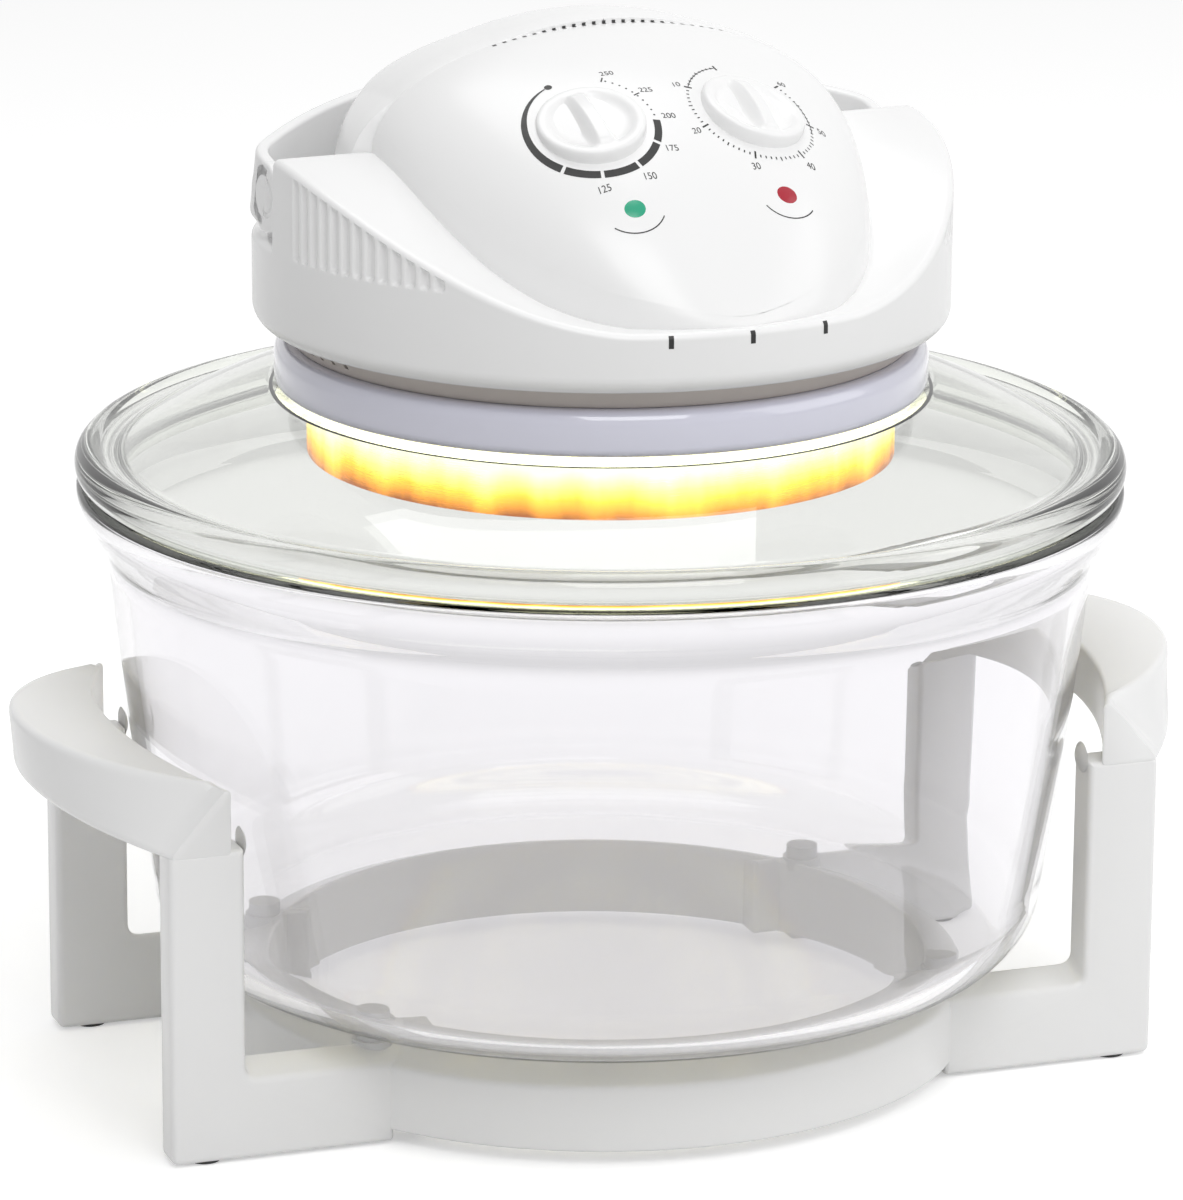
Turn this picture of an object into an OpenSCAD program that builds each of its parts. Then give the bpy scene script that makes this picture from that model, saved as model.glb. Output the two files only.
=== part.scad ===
// Countertop halogen oven: a glass bowl on a four-legged stand, closed by a glass lid
// that carries the heater, the fan and the controls, with a swinging carry handle on top.
// Millimetres, +Z up. The origin lies on the table, under the middle of the bowl.
// The stand's front is at -Y, and the lid with its head is turned a little to the right.

/* [Bowl] */
// Outer radius of the bead round the bowl's mouth
rim_r = 167; // [163:0.5:172]
// Height of the bowl's mouth above the table
rim_z = 191; // [180:1:205]
// Height of the flared band under the mouth
rim_h = 23; // [18:1:28]
// Outer radius of the wall just under the flared band
bowl_top_r = 157.5; // [155:0.5:160]
// Outer radius of the wall where it turns into the base
bowl_heel_r = 144; // [138:0.5:148]
// Radius of the turn from the wall into the base
bowl_turn = 25; // [18:1:30]
// Thickness of the bowl's glass
bowl_wall = 5; // [3.5:0.25:6]

/* [Stand] */
// Distance from the middle to the outer face of the legs
leg_x = 165; // [163:0.5:168]
// Width of a leg along X
leg_w = 24; // [20:0.5:26]
// Distance from the middle to the front face of the legs and rails
leg_y = 73.3; // [71:0.1:78]
// Thickness of the legs and rails along Y
rail_t = 12.8; // [11:0.1:15]
// Height of the top of the rails and of the ring above the table
rail_top = 27; // [24:0.5:30]
// Outer radius of the ring under the bowl
ring_r = 119.5; // [117:0.5:124]
// Radial width of the ring
ring_w = 12.8; // [11:0.1:15]
// Gap from the table to the underside of the ring
ring_lift = 4.5; // [3:0.25:6]
// Gap from the table to the plastic of the stand
foot_lift = 0.8; // [0.5:0.1:1.5]
// Radius of the stand's upright outer corners
leg_round = 4; // [2:0.5:5]

/* [Side grips] */
// Distance from the middle to the outermost point of a side grip
grip_out = 193.5; // [188:0.5:198]
// Inner radius of the side grips round the bowl
grip_in_r = 162.5; // [161:0.5:164]
// Height of a grip's underside at the legs
grip_z = 99.5; // [92:0.5:106]
// Height of a grip's cross section
grip_h = 22; // [18:0.5:26]
// How much higher a grip is at its middle than at the legs
grip_rise = 5; // [3:0.5:7]

/* [Rests] */
// Radius of the lower step of a bowl rest
rest_r = 6.5; // [5.5:0.25:6.5]
// Height of a bowl rest
rest_h = 8.5; // [6:0.25:11]
// Distance from the middle to the centre of a bowl rest
rest_at = 113; // [112:0.5:115]
// Angle of the bowl rests from the X axis
rest_angle = 32; // [28:1:40]
// Radius of a side stop
stop_r = 5.5; // [4:0.25:6]
// Height of the side stops above the table
stop_z = 102; // [97:0.5:104]

/* [Lid] */
// Radius of the bead round the lid
lid_bead = 5.9; // [5:0.1:6.5]
// Thickness of the lid's glass
lid_t = 4.5; // [3.5:0.1:5.5]
// Height of the lid's flat middle above the bowl's mouth
lid_rise = 31; // [27:0.5:36]
// Radius of the hole in the lid
lid_hole_r = 84; // [82:0.5:86]
// Outer radius of the lid's flat middle
lid_flat_r = 105; // [104:0.5:108]

/* [Heater] */
// Outer radius of the heater's shroud
shroud_r = 93; // [90:0.5:95]
// Depth of the shroud's skirt below its flange
shroud_depth = 16.5; // [14:0.5:20]
// Thickness of the pressed steel
sheet = 0.8; // [0.6:0.1:1.2]
// Radius of the ring that the lamp is bent to
lamp_ring_r = 66; // [62:0.5:69]
// Radius of the lamp's quartz tube
lamp_r = 5.5; // [4:0.25:6]
// Radius of the hot air fan
hot_fan_r = 48; // [40:1:52]

/* [Head] */
// How far the lid and its head are turned on the bowl
head_turn = 5; // [0:1:30]
// Outer radius of the head's band
head_r = 110.7; // [109:0.1:113]
// Thickness of the head's plastic
wall = 2.6; // [2:0.1:3]
// Outer radius of the collar on the lid
collar_r = 104; // [102:0.5:105]
// Height of the collar
collar_h = 13.8; // [11:0.2:17]
// Height of the band's lower edge above the collar
band_gap = 6.5; // [5:0.25:9]
// Height of the band at its front
band_front_h = 19; // [17:0.5:22]
// Height of the shoulders above the band's lower edge
shoulder_h = 58; // [54:0.5:62]
// Height of the band behind the shoulders
band_rear_h = 29.5; // [27:0.5:31]
// Height of the dome's top above the band's lower edge
dome_h = 93; // [91:0.5:94]
// Half width of the dome
dome_x = 78; // [76:0.5:82]
// Half length of the dome
dome_y = 106.5; // [105.5:0.1:107]
// Half width of the hump behind the dome
hump_x = 87; // [86:0.5:88]
// Half length of the hump behind the dome
hump_y = 60; // [56:0.5:61]
// How far the hump's crest stands above the dome's
hump_rise = 3; // [2:0.25:3.5]
// Number of grip grooves on each shoulder
groove_n = 13; // [8:1:15]

/* [Controls] */
// Distance from the middle to each dial along X
dial_x = 27; // [25:0.5:29]
// Distance from the middle to the dials along Y
dial_y = 50; // [47:0.5:53]
// Height of the dials above the band's lower edge
dial_h = 70.5; // [70:0.25:72]
// Tilt of the dials towards the front
dial_tilt = 23.5; // [22:0.5:26]
// Tilt of the dials and lenses away from each other
panel_roll = 11; // [8:0.5:13]
// Radius of a knob
knob_r = 17; // [15:0.25:18]
// Height of a knob's disc
knob_h = 4.5; // [3.5:0.25:6]
// Radius of a knob's spindle
spindle_r = 3; // [2.5:0.1:3.5]
// Distance from the middle to each lamp lens along X
lens_x = 26; // [24:0.5:28]
// Distance from the middle to the lenses along Y
lens_y = 77; // [75:0.5:79]
// Height of the lenses above the band's lower edge
lens_h = 51.25; // [50.5:0.25:52]
// Tilt of the lenses towards the front
lens_tilt = 40; // [36:1:44]
// Radius of a lens
lens_r = 6.8; // [5.5:0.1:7.5]

/* [Carry handle] */
// Distance from the middle to the handle's pivots along Y
pivot_y = 17; // [16.5:0.25:18.5]
// Height of the handle's pivots above the band's lower edge
pivot_h = 43; // [42:0.25:45]
// Half width of the handle
bail_x = 108; // [107.5:0.1:108.5]
// Height of the handle's crown above its pivots
bail_h = 59; // [58.5:0.25:61]
// Radius of the handle's arch
bail_arch = 150; // [145:1:160]
// Radius of the turn from an arm into the arch
bail_turn = 16; // [10:0.5:20]
// Thickness of the handle's strap
bail_t = 4; // [3:0.25:4.25]
// Width of the handle's strap
bail_w = 22; // [16:0.5:22]
// How far the resting handle leans back
bail_lean = 75; // [70:0.5:78]
// Radius of the handle's pivot pins
pin_r = 4; // [3:0.25:5]

/* [Motor] */
// Side of the square motor stack
stack_w = 56; // [48:1:60]
// Height of the motor stack
stack_h = 16; // [12:0.5:20]
// Radius of the rotor
rotor_r = 12; // [9:0.25:14]
// Radius of the fan shaft
shaft_r = 3; // [2.5:0.1:4]
// Radius of the cooling fan
cool_fan_r = 42; // [34:1:46]

/* [Clearances] */
// Gap between glass, plastic and metal pieces that rest on each other
seat_gap = 0.3; // [0.2:0.05:0.4]
// Radial clearance of spindles, pins and shafts in their bores
bore_gap = 0.1; // [0.05:0.01:0.1]
// Radial clearance of screws in their holes
screw_gap = 0.15; // [0.1:0.05:0.3]

/* [Hidden] */
$fn = 96;

white = "#f2f2f2";
steel = "#c9ccd0";
glass = "#cfe3dd";

// Levels of the stand and the bowl
foot_h = 3;
foot_r = 5;
base_z = rail_top + rest_h;
base_r = bowl_heel_r - bowl_turn;
ring_in_r = ring_r - ring_w;
leg_in_x = leg_x - leg_w;
rail_y = leg_y - rail_t;
notch_x = sqrt(pow(ring_r, 2) - pow(leg_y, 2)) - 1;
grip_top_z = grip_z + grip_h;
stop_l = 13;

// Levels of the lid and of the pieces clamped to it
lid_z = rim_z + seat_gap;
lid_bead_z = lid_z + lid_bead;
lid_top_z = rim_z + lid_rise;
gasket_t = 1.2;
lower_gasket_t = 0.8;
collar_z = lid_top_z + gasket_t;
floor_z = collar_z + collar_h;
floor_t = 2.5;
flange_z = lid_top_z - lid_t - lower_gasket_t;
skirt_z = flange_z - sheet - shroud_depth;
hat_r = lid_hole_r - 3.5;
roof_z = flange_z + 9;
pad_t = 5;
shield_z = roof_z + pad_t;
lamp_z = skirt_z + 11.2;
clamp_at = 74;
clamp_angles = [45, 135, 225, 315];

// Levels of the head
band_z = floor_z + band_gap;
crease_z = band_z + band_front_h;
shoulder_z = band_z + shoulder_h;
rear_z = band_z + band_rear_h;
apex_z = band_z + dome_h;
lip_r = head_r - 4.7;
vent_w = 1.8;
screw_at = 88;
screw_angles = [-140, -40, 40, 140];

// Angle from the front at which the shoulders begin to rise, and where they end
rise_start = 20;
rise_end = 90;
step_angle = 91.5;

// Height of the band's top edge at angle a from the front, d below the outer skin
function crease(a, d) =
  let (u = min(1, max(0, (a - rise_start) / (rise_end - rise_start))),
       g = 0.75 * (1 - cos(180 * u)) / 2 + 0.25 * u,
       v = max(0, (a - step_angle) / (180 - step_angle)))
  (a <= step_angle - 0.52 * d ? crease_z + (shoulder_z - crease_z) * g
    : rear_z - 7 * v) - d;

// Whether angle a lies on the hump behind the dome, for a skin d inside the outer one
function on_hump(a, d) = abs(a) > step_angle + 0.4 + 0.8 * d;

// Radius of the foot at angle a: an ellipse under the dome, a squarer curve under the hump
function foot_radius(a, d) = on_hump(a, d)
  ? 1 / pow(pow(abs(sin(a)) / (hump_x - d), 2.4) + pow(abs(cos(a)) / (hump_y - d), 2.4), 1 / 2.4)
  : 1 / norm([sin(a) / (dome_x - d), cos(a) / (dome_y - d)]);

// Height of the dome's crest at the share t of its half length
function crest_z(t) =
  let (u = (norm([t, 0.08]) - 0.08) / (norm([1, 0.08]) - 0.08))
  apex_z - (apex_z - crease_z) * (0.45 * u + 0.55 * pow(u, 3));

// Height of the arch at the hump's front, x from the middle: a parabola that stays above the dome
function arch_z(x) =
  max(apex_z + hump_rise - 38 * pow(x / 93, 2),
      shoulder_z + (apex_z - shoulder_z) * sqrt(max(0, 1 - pow(x / dome_x, 2))) + 1.2);

// Height of the hump over x, y at the share s of its foot radius: level behind its arch, then
// rounded down to the rear
function hump_z(x, y, s, base, d) =
  let (top = arch_z(abs(x)) - 1.5 * pow(max(0, 1 - y / 9), 2) - 2 * pow(y / 32, 2),
       fall = sqrt(max(0, 1 - pow(max(0, y) / (hump_y - d), 5))))
  base + (top - base) * fall * pow(max(0, 1 - pow(s, 24)), 1 / 3) - d - (d > 0 ? 3.2 : 0);

// Height of the dome at the share s of its foot radius and the angle a: a cross section is
// rounder at the crest and squarer towards the front, and stands on a foot as high as the
// shoulders beside it
function dome_z(s, a, d) =
  let (r = s * foot_radius(a, d), t = abs(r * cos(a)) / (dome_y - d),
       x = abs(r * sin(a)) / (dome_x - d),
       foot = crease(min(abs(a), 180 - abs(a)), 0),
       rise = sqrt(max(0, 1 - pow(x / sqrt(max(0.0001, 1 - t * t)), 2 + 2 * t))))
  s == 1 ? crease(abs(a), d) : max(crease(abs(a), d), on_hump(a, d)
    ? hump_z(r * sin(a), -r * cos(a), s, crease(abs(a), 0), d)
    : foot + (crest_z(t) - foot) * rise - d);

// Shares of the foot radius at which the dome's rings lie
outer_rings = [1, 0.998, 0.99, 0.97, 0.94, 0.89, 0.82, 0.73, 0.62, 0.5, 0.37, 0.23, 0.1, 0.012];
inner_rings = [1, 0.995, 0.97, 0.88, 0.72, 0.5, 0.25];

// Angles of the columns on one side, closer together at the shoulder's end
function side_angles(d) =
  let (e = step_angle - 0.52 * d)
  concat([for (i = [0:17]) e * i / 17], [e + 0.8, step_angle + 2.1, step_angle + 2.8],
         [for (i = [0:15]) 97 + 82.99 * i / 15]);

function head_angles(d) =
  let (s = side_angles(d), n = len(s))
  concat([for (i = [0:n - 1]) s[i]], [for (i = [1:n - 2]) -s[n - 1 - i]]);

function on_head(r, a, z) = [r * sin(a), -r * cos(a), z];

// One column of the outer skin, from the band's lower lip up to the dome
function outer_column(a) =
  let (c = crease(abs(a), 0))
  concat([on_head(lip_r, a, band_z), on_head(head_r - 1.2, a, band_z + 2),
          on_head(head_r, a, band_z + 5.5), on_head(head_r, a, c - 2.5),
          on_head(head_r - 0.8, a, c - 0.7), on_head(head_r - 2.5, a, c)],
         [for (s = outer_rings) on_head(s * foot_radius(a, 0), a, dome_z(s, a, 0))]);

// One column of the inner skin
function inner_column(a) =
  let (c = crease(abs(a), wall))
  concat([on_head(lip_r - wall, a, band_z), on_head(head_r - wall, a, band_z + 5.5),
          on_head(head_r - wall, a, c)],
         [for (s = inner_rings) on_head(s * foot_radius(a, wall), a, dome_z(s, a, wall))]);

// Triangles between columns of m points, n columns round, starting at point k
function sheet_faces(m, n, k, flip) =
  [for (i = [0:n - 1], j = [0:m - 2], h = [0, 1])
    let (a = k + i * m + j, b = k + ((i + 1) % n) * m + j,
         t = h == 0 ? [a, a + 1, b + 1] : [a, b + 1, b])
    flip ? t : [t[2], t[1], t[0]]];

// Moves its children into the head's own axes
module on_lid() {
  rotate([0, 0, head_turn]) children();
}

// Places its children, in the head's own axes, on a dial's seat
module dial_seat(side) {
  translate([side * dial_x, -dial_y, band_z + dial_h])
    rotate([dial_tilt, 0, 0]) rotate([0, side * panel_roll, 0]) children();
}

module lens_seat(side) {
  translate([side * lens_x, -lens_y, band_z + lens_h])
    rotate([lens_tilt, 0, 0]) rotate([0, side * panel_roll, 0]) children();
}

module at_dial(side) {
  on_lid() dial_seat(side) children();
}

module at_lens(side) {
  on_lid() lens_seat(side) children();
}

module ring(r_out, r_in, z, h) {
  rotate_extrude() translate([r_in, z]) square([r_out - r_in, h]);
}

module torus(r, t, z) {
  rotate_extrude() translate([r, z]) circle(t);
}

// A copy of its children in each of the four corners
module four_corners() {
  for (mx = [0, 1], my = [0, 1]) mirror([mx, 0, 0]) mirror([0, my, 0]) children();
}

module round_plate(x0, x1, y0, y1, r) {
  translate([x0, y0]) square([x1 - x0, y1 - y0 - r]);
  translate([x0, y0]) square([x1 - x0 - r, y1 - y0]);
  translate([x1 - r, y1 - r]) circle(r);
}

// Plan of a side grip: between the bowl's circle and two outer arcs
module grip_plan(mid_x) {
  difference() {
    translate([mid_x, 0]) circle(grip_out - mid_x);
    circle(grip_in_r);
    translate([-2 * grip_out, -grip_out]) square([2 * grip_out + leg_in_x - 1, 2 * grip_out]);
  }
}

// The arched slab that bounds the grips from above and below
module grip_slab() {
  top_r = (pow(leg_y, 2) + pow(grip_rise, 2)) / (2 * grip_rise);
  rotate([90, 0, 90]) linear_extrude(height = 4 * grip_out, center = true)
    intersection() {
      translate([-leg_y, 0]) square([2 * leg_y, grip_top_z + 2 * grip_rise]);
      difference() {
        translate([0, grip_top_z + grip_rise - top_r]) circle(top_r, $fn = 200);
        translate([0, grip_z + grip_rise - top_r]) circle(top_r, $fn = 200);
      }
    }
}

// Outer shape of a grip: a wide arc below that draws in towards a tighter arc above
module grip_outer() {
  hull() {
    translate([72, 0, grip_z]) cylinder(r = grip_out - 3 - 72, h = 1, $fn = 120);
    translate([118, 0, grip_top_z + grip_rise]) cylinder(r = grip_out - 118, h = 1, $fn = 120);
  }
}

module stand_frame() {
  color(white) difference() {
    union() {
      ring(ring_r, ring_in_r, ring_lift, rail_top - ring_lift);
      four_corners() {
        translate([0, 0, foot_lift]) linear_extrude(height = rail_top - foot_lift)
          round_plate(notch_x, leg_x, rail_y, leg_y, leg_round);
        translate([notch_x - 14, rail_y, ring_lift])
          cube([20, rail_t, rail_top - ring_lift]);
        translate([0, 0, foot_lift]) linear_extrude(height = grip_z + 2 - foot_lift)
          round_plate(leg_in_x, leg_x, rail_y, leg_y, leg_round);
      }
      intersection() {
        grip_slab();
        union() {
          for (m = [0, 1]) mirror([m, 0, 0]) difference() {
            grip_outer();
            translate([0, 0, -1]) cylinder(r = grip_in_r, h = 2 * rim_z, $fn = 200);
            translate([-2 * grip_out, -grip_out, -1])
              cube([2 * grip_out + leg_in_x, 2 * grip_out, 2 * rim_z]);
          }
        }
      }
    }
    at_rests() cylinder(r = rest_r - 2 + screw_gap, h = 8, center = true);
    at_feet() translate([0, 0, -1]) cylinder(r = foot_r + seat_gap, h = foot_h + 1 + seat_gap);
  }
}

module at_rests() {
  for (a = [rest_angle, 180 - rest_angle, 180 + rest_angle, -rest_angle])
    rotate([0, 0, a]) translate([rest_at, 0, rail_top]) children();
}

module at_feet() {
  four_corners() translate([leg_x - leg_w / 2, leg_y - rail_t / 2, 0]) children();
}

module bowl_rests() {
  color("#e8e8e8") at_rests() {
    translate([0, 0, -3.5]) cylinder(r = rest_r - 2, h = 4);
    cylinder(r = rest_r, h = rest_h / 2);
    cylinder(r = rest_r - 1.2, h = rest_h - seat_gap);
  }
}

module side_stops() {
  l = stop_length();
  color("#ececec") four_corners()
    translate([leg_in_x - seat_gap, leg_y - rail_t / 2, stop_z]) rotate([0, -90, 0])
      rotate_extrude() intersection() {
        square([stop_r, l]);
        translate([0, l - 1.5 * stop_r]) circle(1.5 * stop_r);
      }
}

// A side stop reaches in towards the bowl and leaves it a running gap
function stop_length() =
  min(stop_l, leg_in_x - sqrt(pow(bowl_radius(stop_z + stop_r) + 1.5, 2)
                              - pow(leg_y - rail_t / 2 - stop_r, 2)));

module stand_feet() {
  color("#3a3a3a") at_feet() cylinder(r = foot_r, h = foot_h);
}

// Outer radius of the bowl's wall at the height z, a slightly swelling cone
function bowl_radius(z) =
  let (z0 = base_z + bowl_turn, z1 = rim_z - rim_h, t = (z - z0) / (z1 - z0))
  bowl_heel_r + (bowl_top_r - bowl_heel_r) * (1.25 * t - 0.25 * t * t);

wall_z = [for (i = [0:8]) base_z + bowl_turn + (rim_z - rim_h - base_z - bowl_turn) * i / 8];

module glass_bowl() {
  inner_top = rim_r - 11;
  outer = concat([[0, base_z]],
    [for (i = [0:10]) let (a = -90 + 9 * i)
      [base_r + bowl_turn * cos(a), base_z + bowl_turn + bowl_turn * sin(a)]],
    [for (z = wall_z) [bowl_radius(z), z]],
    [[bowl_top_r + 2, rim_z - rim_h + 5], [rim_r - 1, rim_z - 7], [rim_r, rim_z - 4],
     [rim_r - 1, rim_z - 0.8], [rim_r - 3, rim_z]]);
  turn = bowl_turn - bowl_wall;
  inner = concat([[inner_top, rim_z], [inner_top - 1.5, rim_z - 2]],
    [for (i = [8:-1:0]) [bowl_radius(wall_z[i]) - bowl_wall, wall_z[i]]],
    [for (i = [10:-1:0]) let (a = -90 + 9 * i)
      [base_r + turn * cos(a), base_z + bowl_turn + turn * sin(a)]],
    [[0, base_z + bowl_wall]]);
  color(glass, 0.35) rotate_extrude() polygon(concat(outer, inner));
}

// Height of the lid's upper face at radius r, a shallow arc from the bead to the flat
function lid_upper(r) =
  let (r0 = rim_r - 2 * lid_bead + 1, t = (r0 - r) / (r0 - lid_flat_r), z0 = lid_z + lid_bead + 2)
  z0 + (lid_top_z - z0) * (1.45 * t - 0.45 * t * t);

lid_steps = 10;
lid_r = [for (i = [0:lid_steps])
  rim_r - 2 * lid_bead + 1 - (rim_r - 2 * lid_bead + 1 - lid_flat_r) * i / lid_steps];

module glass_lid() {
  bead_x = rim_r + 0.5 - lid_bead;
  step_r = rim_r - 15.1;
  upper = concat([for (r = lid_r) [r, lid_upper(r)]], [[lid_hole_r, lid_top_z]]);
  lower = concat([[lid_hole_r, lid_top_z - lid_t]],
    [for (i = [lid_steps:-1:1]) [lid_r[i] - 1, lid_upper(lid_r[i]) - lid_t]],
    [[step_r, lid_z - 4], [step_r + 1.6, lid_z - 4], [step_r + 2, lid_z], [bead_x, lid_z]]);
  color(glass, 0.35) rotate_extrude() {
    translate([bead_x, lid_bead_z]) circle(lid_bead);
    polygon(concat([[bead_x, lid_bead_z + lid_bead - 1.5]], upper, lower));
  }
}

module upper_gasket() {
  color("#b8b8b8") ring(collar_r - 4, lid_hole_r + 4, lid_top_z, gasket_t);
}

module lower_gasket() {
  color("#b8b8b8") ring(shroud_r - 1, lid_hole_r + 1, flange_z, lower_gasket_t);
}

module lid_collar() {
  color("#e9e8f4") on_lid() rotate_extrude() polygon([
    [lid_hole_r + 5, collar_z], [collar_r - 3.5, collar_z], [collar_r - 3.5, lid_top_z + 0.5],
    [collar_r - 1, lid_top_z + 0.5], [collar_r, lid_top_z + 1.5], [collar_r, floor_z - 2],
    [collar_r - 1.5, floor_z], [collar_r - 9, floor_z], [collar_r - 9, collar_z + 3],
    [lid_hole_r + 5, collar_z + 3]]);
}

module heater_shroud() {
  color(steel) on_lid() difference() {
    union() {
      ring(shroud_r, hat_r - sheet, flange_z - sheet, sheet);
      ring(shroud_r, shroud_r - sheet, skirt_z, shroud_depth + sheet);
      ring(hat_r, hat_r - sheet, flange_z - sheet, roof_z - flange_z + sheet);
      translate([0, 0, roof_z - sheet]) cylinder(r = hat_r, h = sheet);
    }
    translate([0, 0, roof_z - 2 * sheet]) cylinder(r = shaft_r + 3, h = 3 * sheet);
    at_clamps() translate([0, 0, roof_z - 5]) cylinder(r = 2 + screw_gap, h = 10);
  }
}

module at_clamps() {
  for (a = clamp_angles) rotate([0, 0, a]) translate([clamp_at, 0, 0]) children();
}

module insulation_pad() {
  color("#d8d2c0") on_lid() difference() {
    ring(hat_r - 0.5, 14, roof_z, pad_t);
    at_clamps() translate([0, 0, roof_z - 1]) cylinder(r = 2 + screw_gap, h = pad_t + 2);
  }
}

module heat_shield() {
  color(steel) on_lid() difference() {
    ring(hat_r + 5, shaft_r + 3, shield_z, sheet);
    at_clamps() translate([0, 0, shield_z - 1]) cylinder(r = 2 + screw_gap, h = sheet + 2);
  }
}

module clamp_screws() {
  color("#8f9296") on_lid() at_clamps() {
    translate([0, 0, roof_z - sheet - 2.2]) cylinder(r = 3.6, h = 2.2);
    translate([0, 0, roof_z - sheet - 1]) cylinder(r = 2, h = floor_z + 3 - roof_z + sheet);
  }
}

// The lamp runs round the fan and stops short of a full turn at the rear
lamp_gap = 16;

module lamp_arc(r, extra) {
  translate([0, 0, lamp_z]) rotate([0, 0, 90 + lamp_gap - extra])
    rotate_extrude(angle = 360 - 2 * lamp_gap + 2 * extra)
      translate([lamp_ring_r, 0]) circle(r);
}

module halogen_lamp() {
  color("#ffe9a8", 0.5) on_lid() difference() {
    lamp_arc(lamp_r, 0);
    lamp_arc(lamp_r - 1.1, 2);
  }
}

module lamp_filament() {
  color("#ffb040") on_lid() lamp_arc(0.9, 0);
}

module lamp_caps() {
  cap = lamp_r + 2.2;
  color("#f4f0e4") on_lid() for (s = [-1, 1])
    translate([0, 0, lamp_z]) rotate([0, 0, 90 + s * (lamp_gap - 0.3)])
      translate([lamp_ring_r, 0, 0]) {
        translate([-cap, s > 0 ? -12 : 0, -cap]) cube([2 * cap, 12, 2 * cap]);
        translate([-3, s > 0 ? -9 : 3, cap - 1]) cube([6, 6, roof_z - sheet - lamp_z - cap + 1]);
      }
}

module lamp_clips() {
  color(steel) on_lid() for (a = [-30, 210, 270]) rotate([0, 0, a])
    translate([lamp_ring_r, 0, lamp_z]) {
      difference() {
        rotate([90, 0, 0]) cylinder(r = lamp_r + 1.3, h = 5, center = true);
        rotate([90, 0, 0]) cylinder(r = lamp_r + 0.35, h = 6, center = true);
      }
      translate([-0.6, -2.5, lamp_r + 0.9])
        cube([1.2, 5, roof_z - sheet - lamp_z - lamp_r - 0.9]);
    }
}

guard_z = skirt_z + 1.6;
guard_rings = [24, 46, 68, 89.5];

module heater_guard() {
  reach = shroud_r - sheet - seat_gap - 1.2;
  color("#d5d8dc") on_lid() union() {
    for (r = guard_rings) torus(r * reach / 89.5, 1.2, guard_z);
    for (i = [0:11]) rotate([0, 0, 30 * i]) translate([24 * reach / 89.5, 0, guard_z])
      rotate([0, 90, 0]) cylinder(r = 1, h = reach * 65.5 / 89.5);
  }
}

module guard_clips() {
  color("#8f9296") on_lid() for (a = [75, 195, 315]) rotate([0, 0, a])
    translate([shroud_r - sheet - 3.2, -3, guard_z + 1.6]) cube([3, 6, 4]);
}

// The lower housing: a tub with slanting sides, vents at both sides and posts inside
module lower_housing() {
  top_z = band_z + 8.5;
  low_r = collar_r - 5.5;
  high_r = head_r - wall - seat_gap;
  color("#e4e4e2") on_lid() difference() {
    union() {
      rotate_extrude() polygon([
        [0, floor_z], [low_r, floor_z], [lip_r - wall - 0.6, band_z], [high_r - 2.5, top_z - 3],
        [high_r, top_z - 2.5], [high_r, top_z], [high_r - 4.5, top_z],
        [lip_r - wall - 3, band_z], [low_r - 2.5, floor_z + floor_t], [0, floor_z + floor_t]]);
      at_clamps() translate([0, 0, shield_z + sheet])
        cylinder(r = 5, h = floor_z - shield_z - sheet + 1);
      at_clamps() translate([0, 0, floor_z]) cylinder(r = 4.5, h = 5);
      at_housing_screws() translate([0, 0, floor_z + 1]) cylinder(r = 4.5, h = 6);
      at_motor_mounts() translate([0, 0, floor_z + 1]) cylinder(r = 4.5, h = motor_z - floor_z - 1);
      translate([switch_x - 5, switch_y - 8, floor_z + 1]) cube([10, 16, switch_z - floor_z - 1]);
    }
    translate([0, 0, floor_z - 1]) cylinder(r = shaft_r + 3, h = floor_t + 2);
    at_clamps() translate([0, 0, shield_z]) cylinder(r = 2 + screw_gap, h = floor_z + 3.5 - shield_z);
    at_housing_screws() translate([0, 0, floor_z - 1]) cylinder(r = 1.8 + screw_gap, h = 10);
    at_motor_mounts() translate([0, 0, motor_z - 8]) cylinder(r = 1.5 + screw_gap, h = 9);
    for (s = [-1, 1], i = [0:11]) rotate([0, 0, s * (76 + 4 * i)])
      translate([-vent_w / 2, -head_r, floor_z + 2.8]) cube([vent_w, 16, band_z + 3 - floor_z]);
    rotate([-90, 0, 0]) translate([0, -gland_z, 0]) cylinder(r = gland_r + 2, h = 2 * head_r);
  }
}

module at_housing_screws() {
  for (a = screw_angles) rotate([0, 0, a]) translate([0, -screw_at, 0]) children();
}

screw_post_r = 4.5;

// Seats of the dials and lenses on the dome, and the bores behind them
module panel_bosses() {
  for (s = [-1, 1]) {
    dial_seat(s) translate([0, 0, -6]) cylinder(r = knob_r + 1.5, h = 4.4);
    lens_seat(s) translate([0, 0, -6]) cylinder(r = lens_r + 1.6, h = 5);
  }
}

module panel_cuts() {
  for (s = [-1, 1]) {
    dial_seat(s) {
      translate([0, 0, -1.2]) cylinder(r = knob_r + seat_gap, h = 12);
      translate([0, 0, -10]) cylinder(r = spindle_r + bore_gap, h = 12);
    }
    lens_seat(s) {
      translate([0, 0, -1.5]) cylinder(r = lens_r + seat_gap, h = 12);
      translate([0, 0, -10]) cylinder(r = lens_r - 1.2, h = 12);
    }
  }
}

ear_x = bail_x - bail_t - 0.5;
lug_r = bail_w / 2 + 0.4;
pivot_z = band_z + pivot_h;

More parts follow.
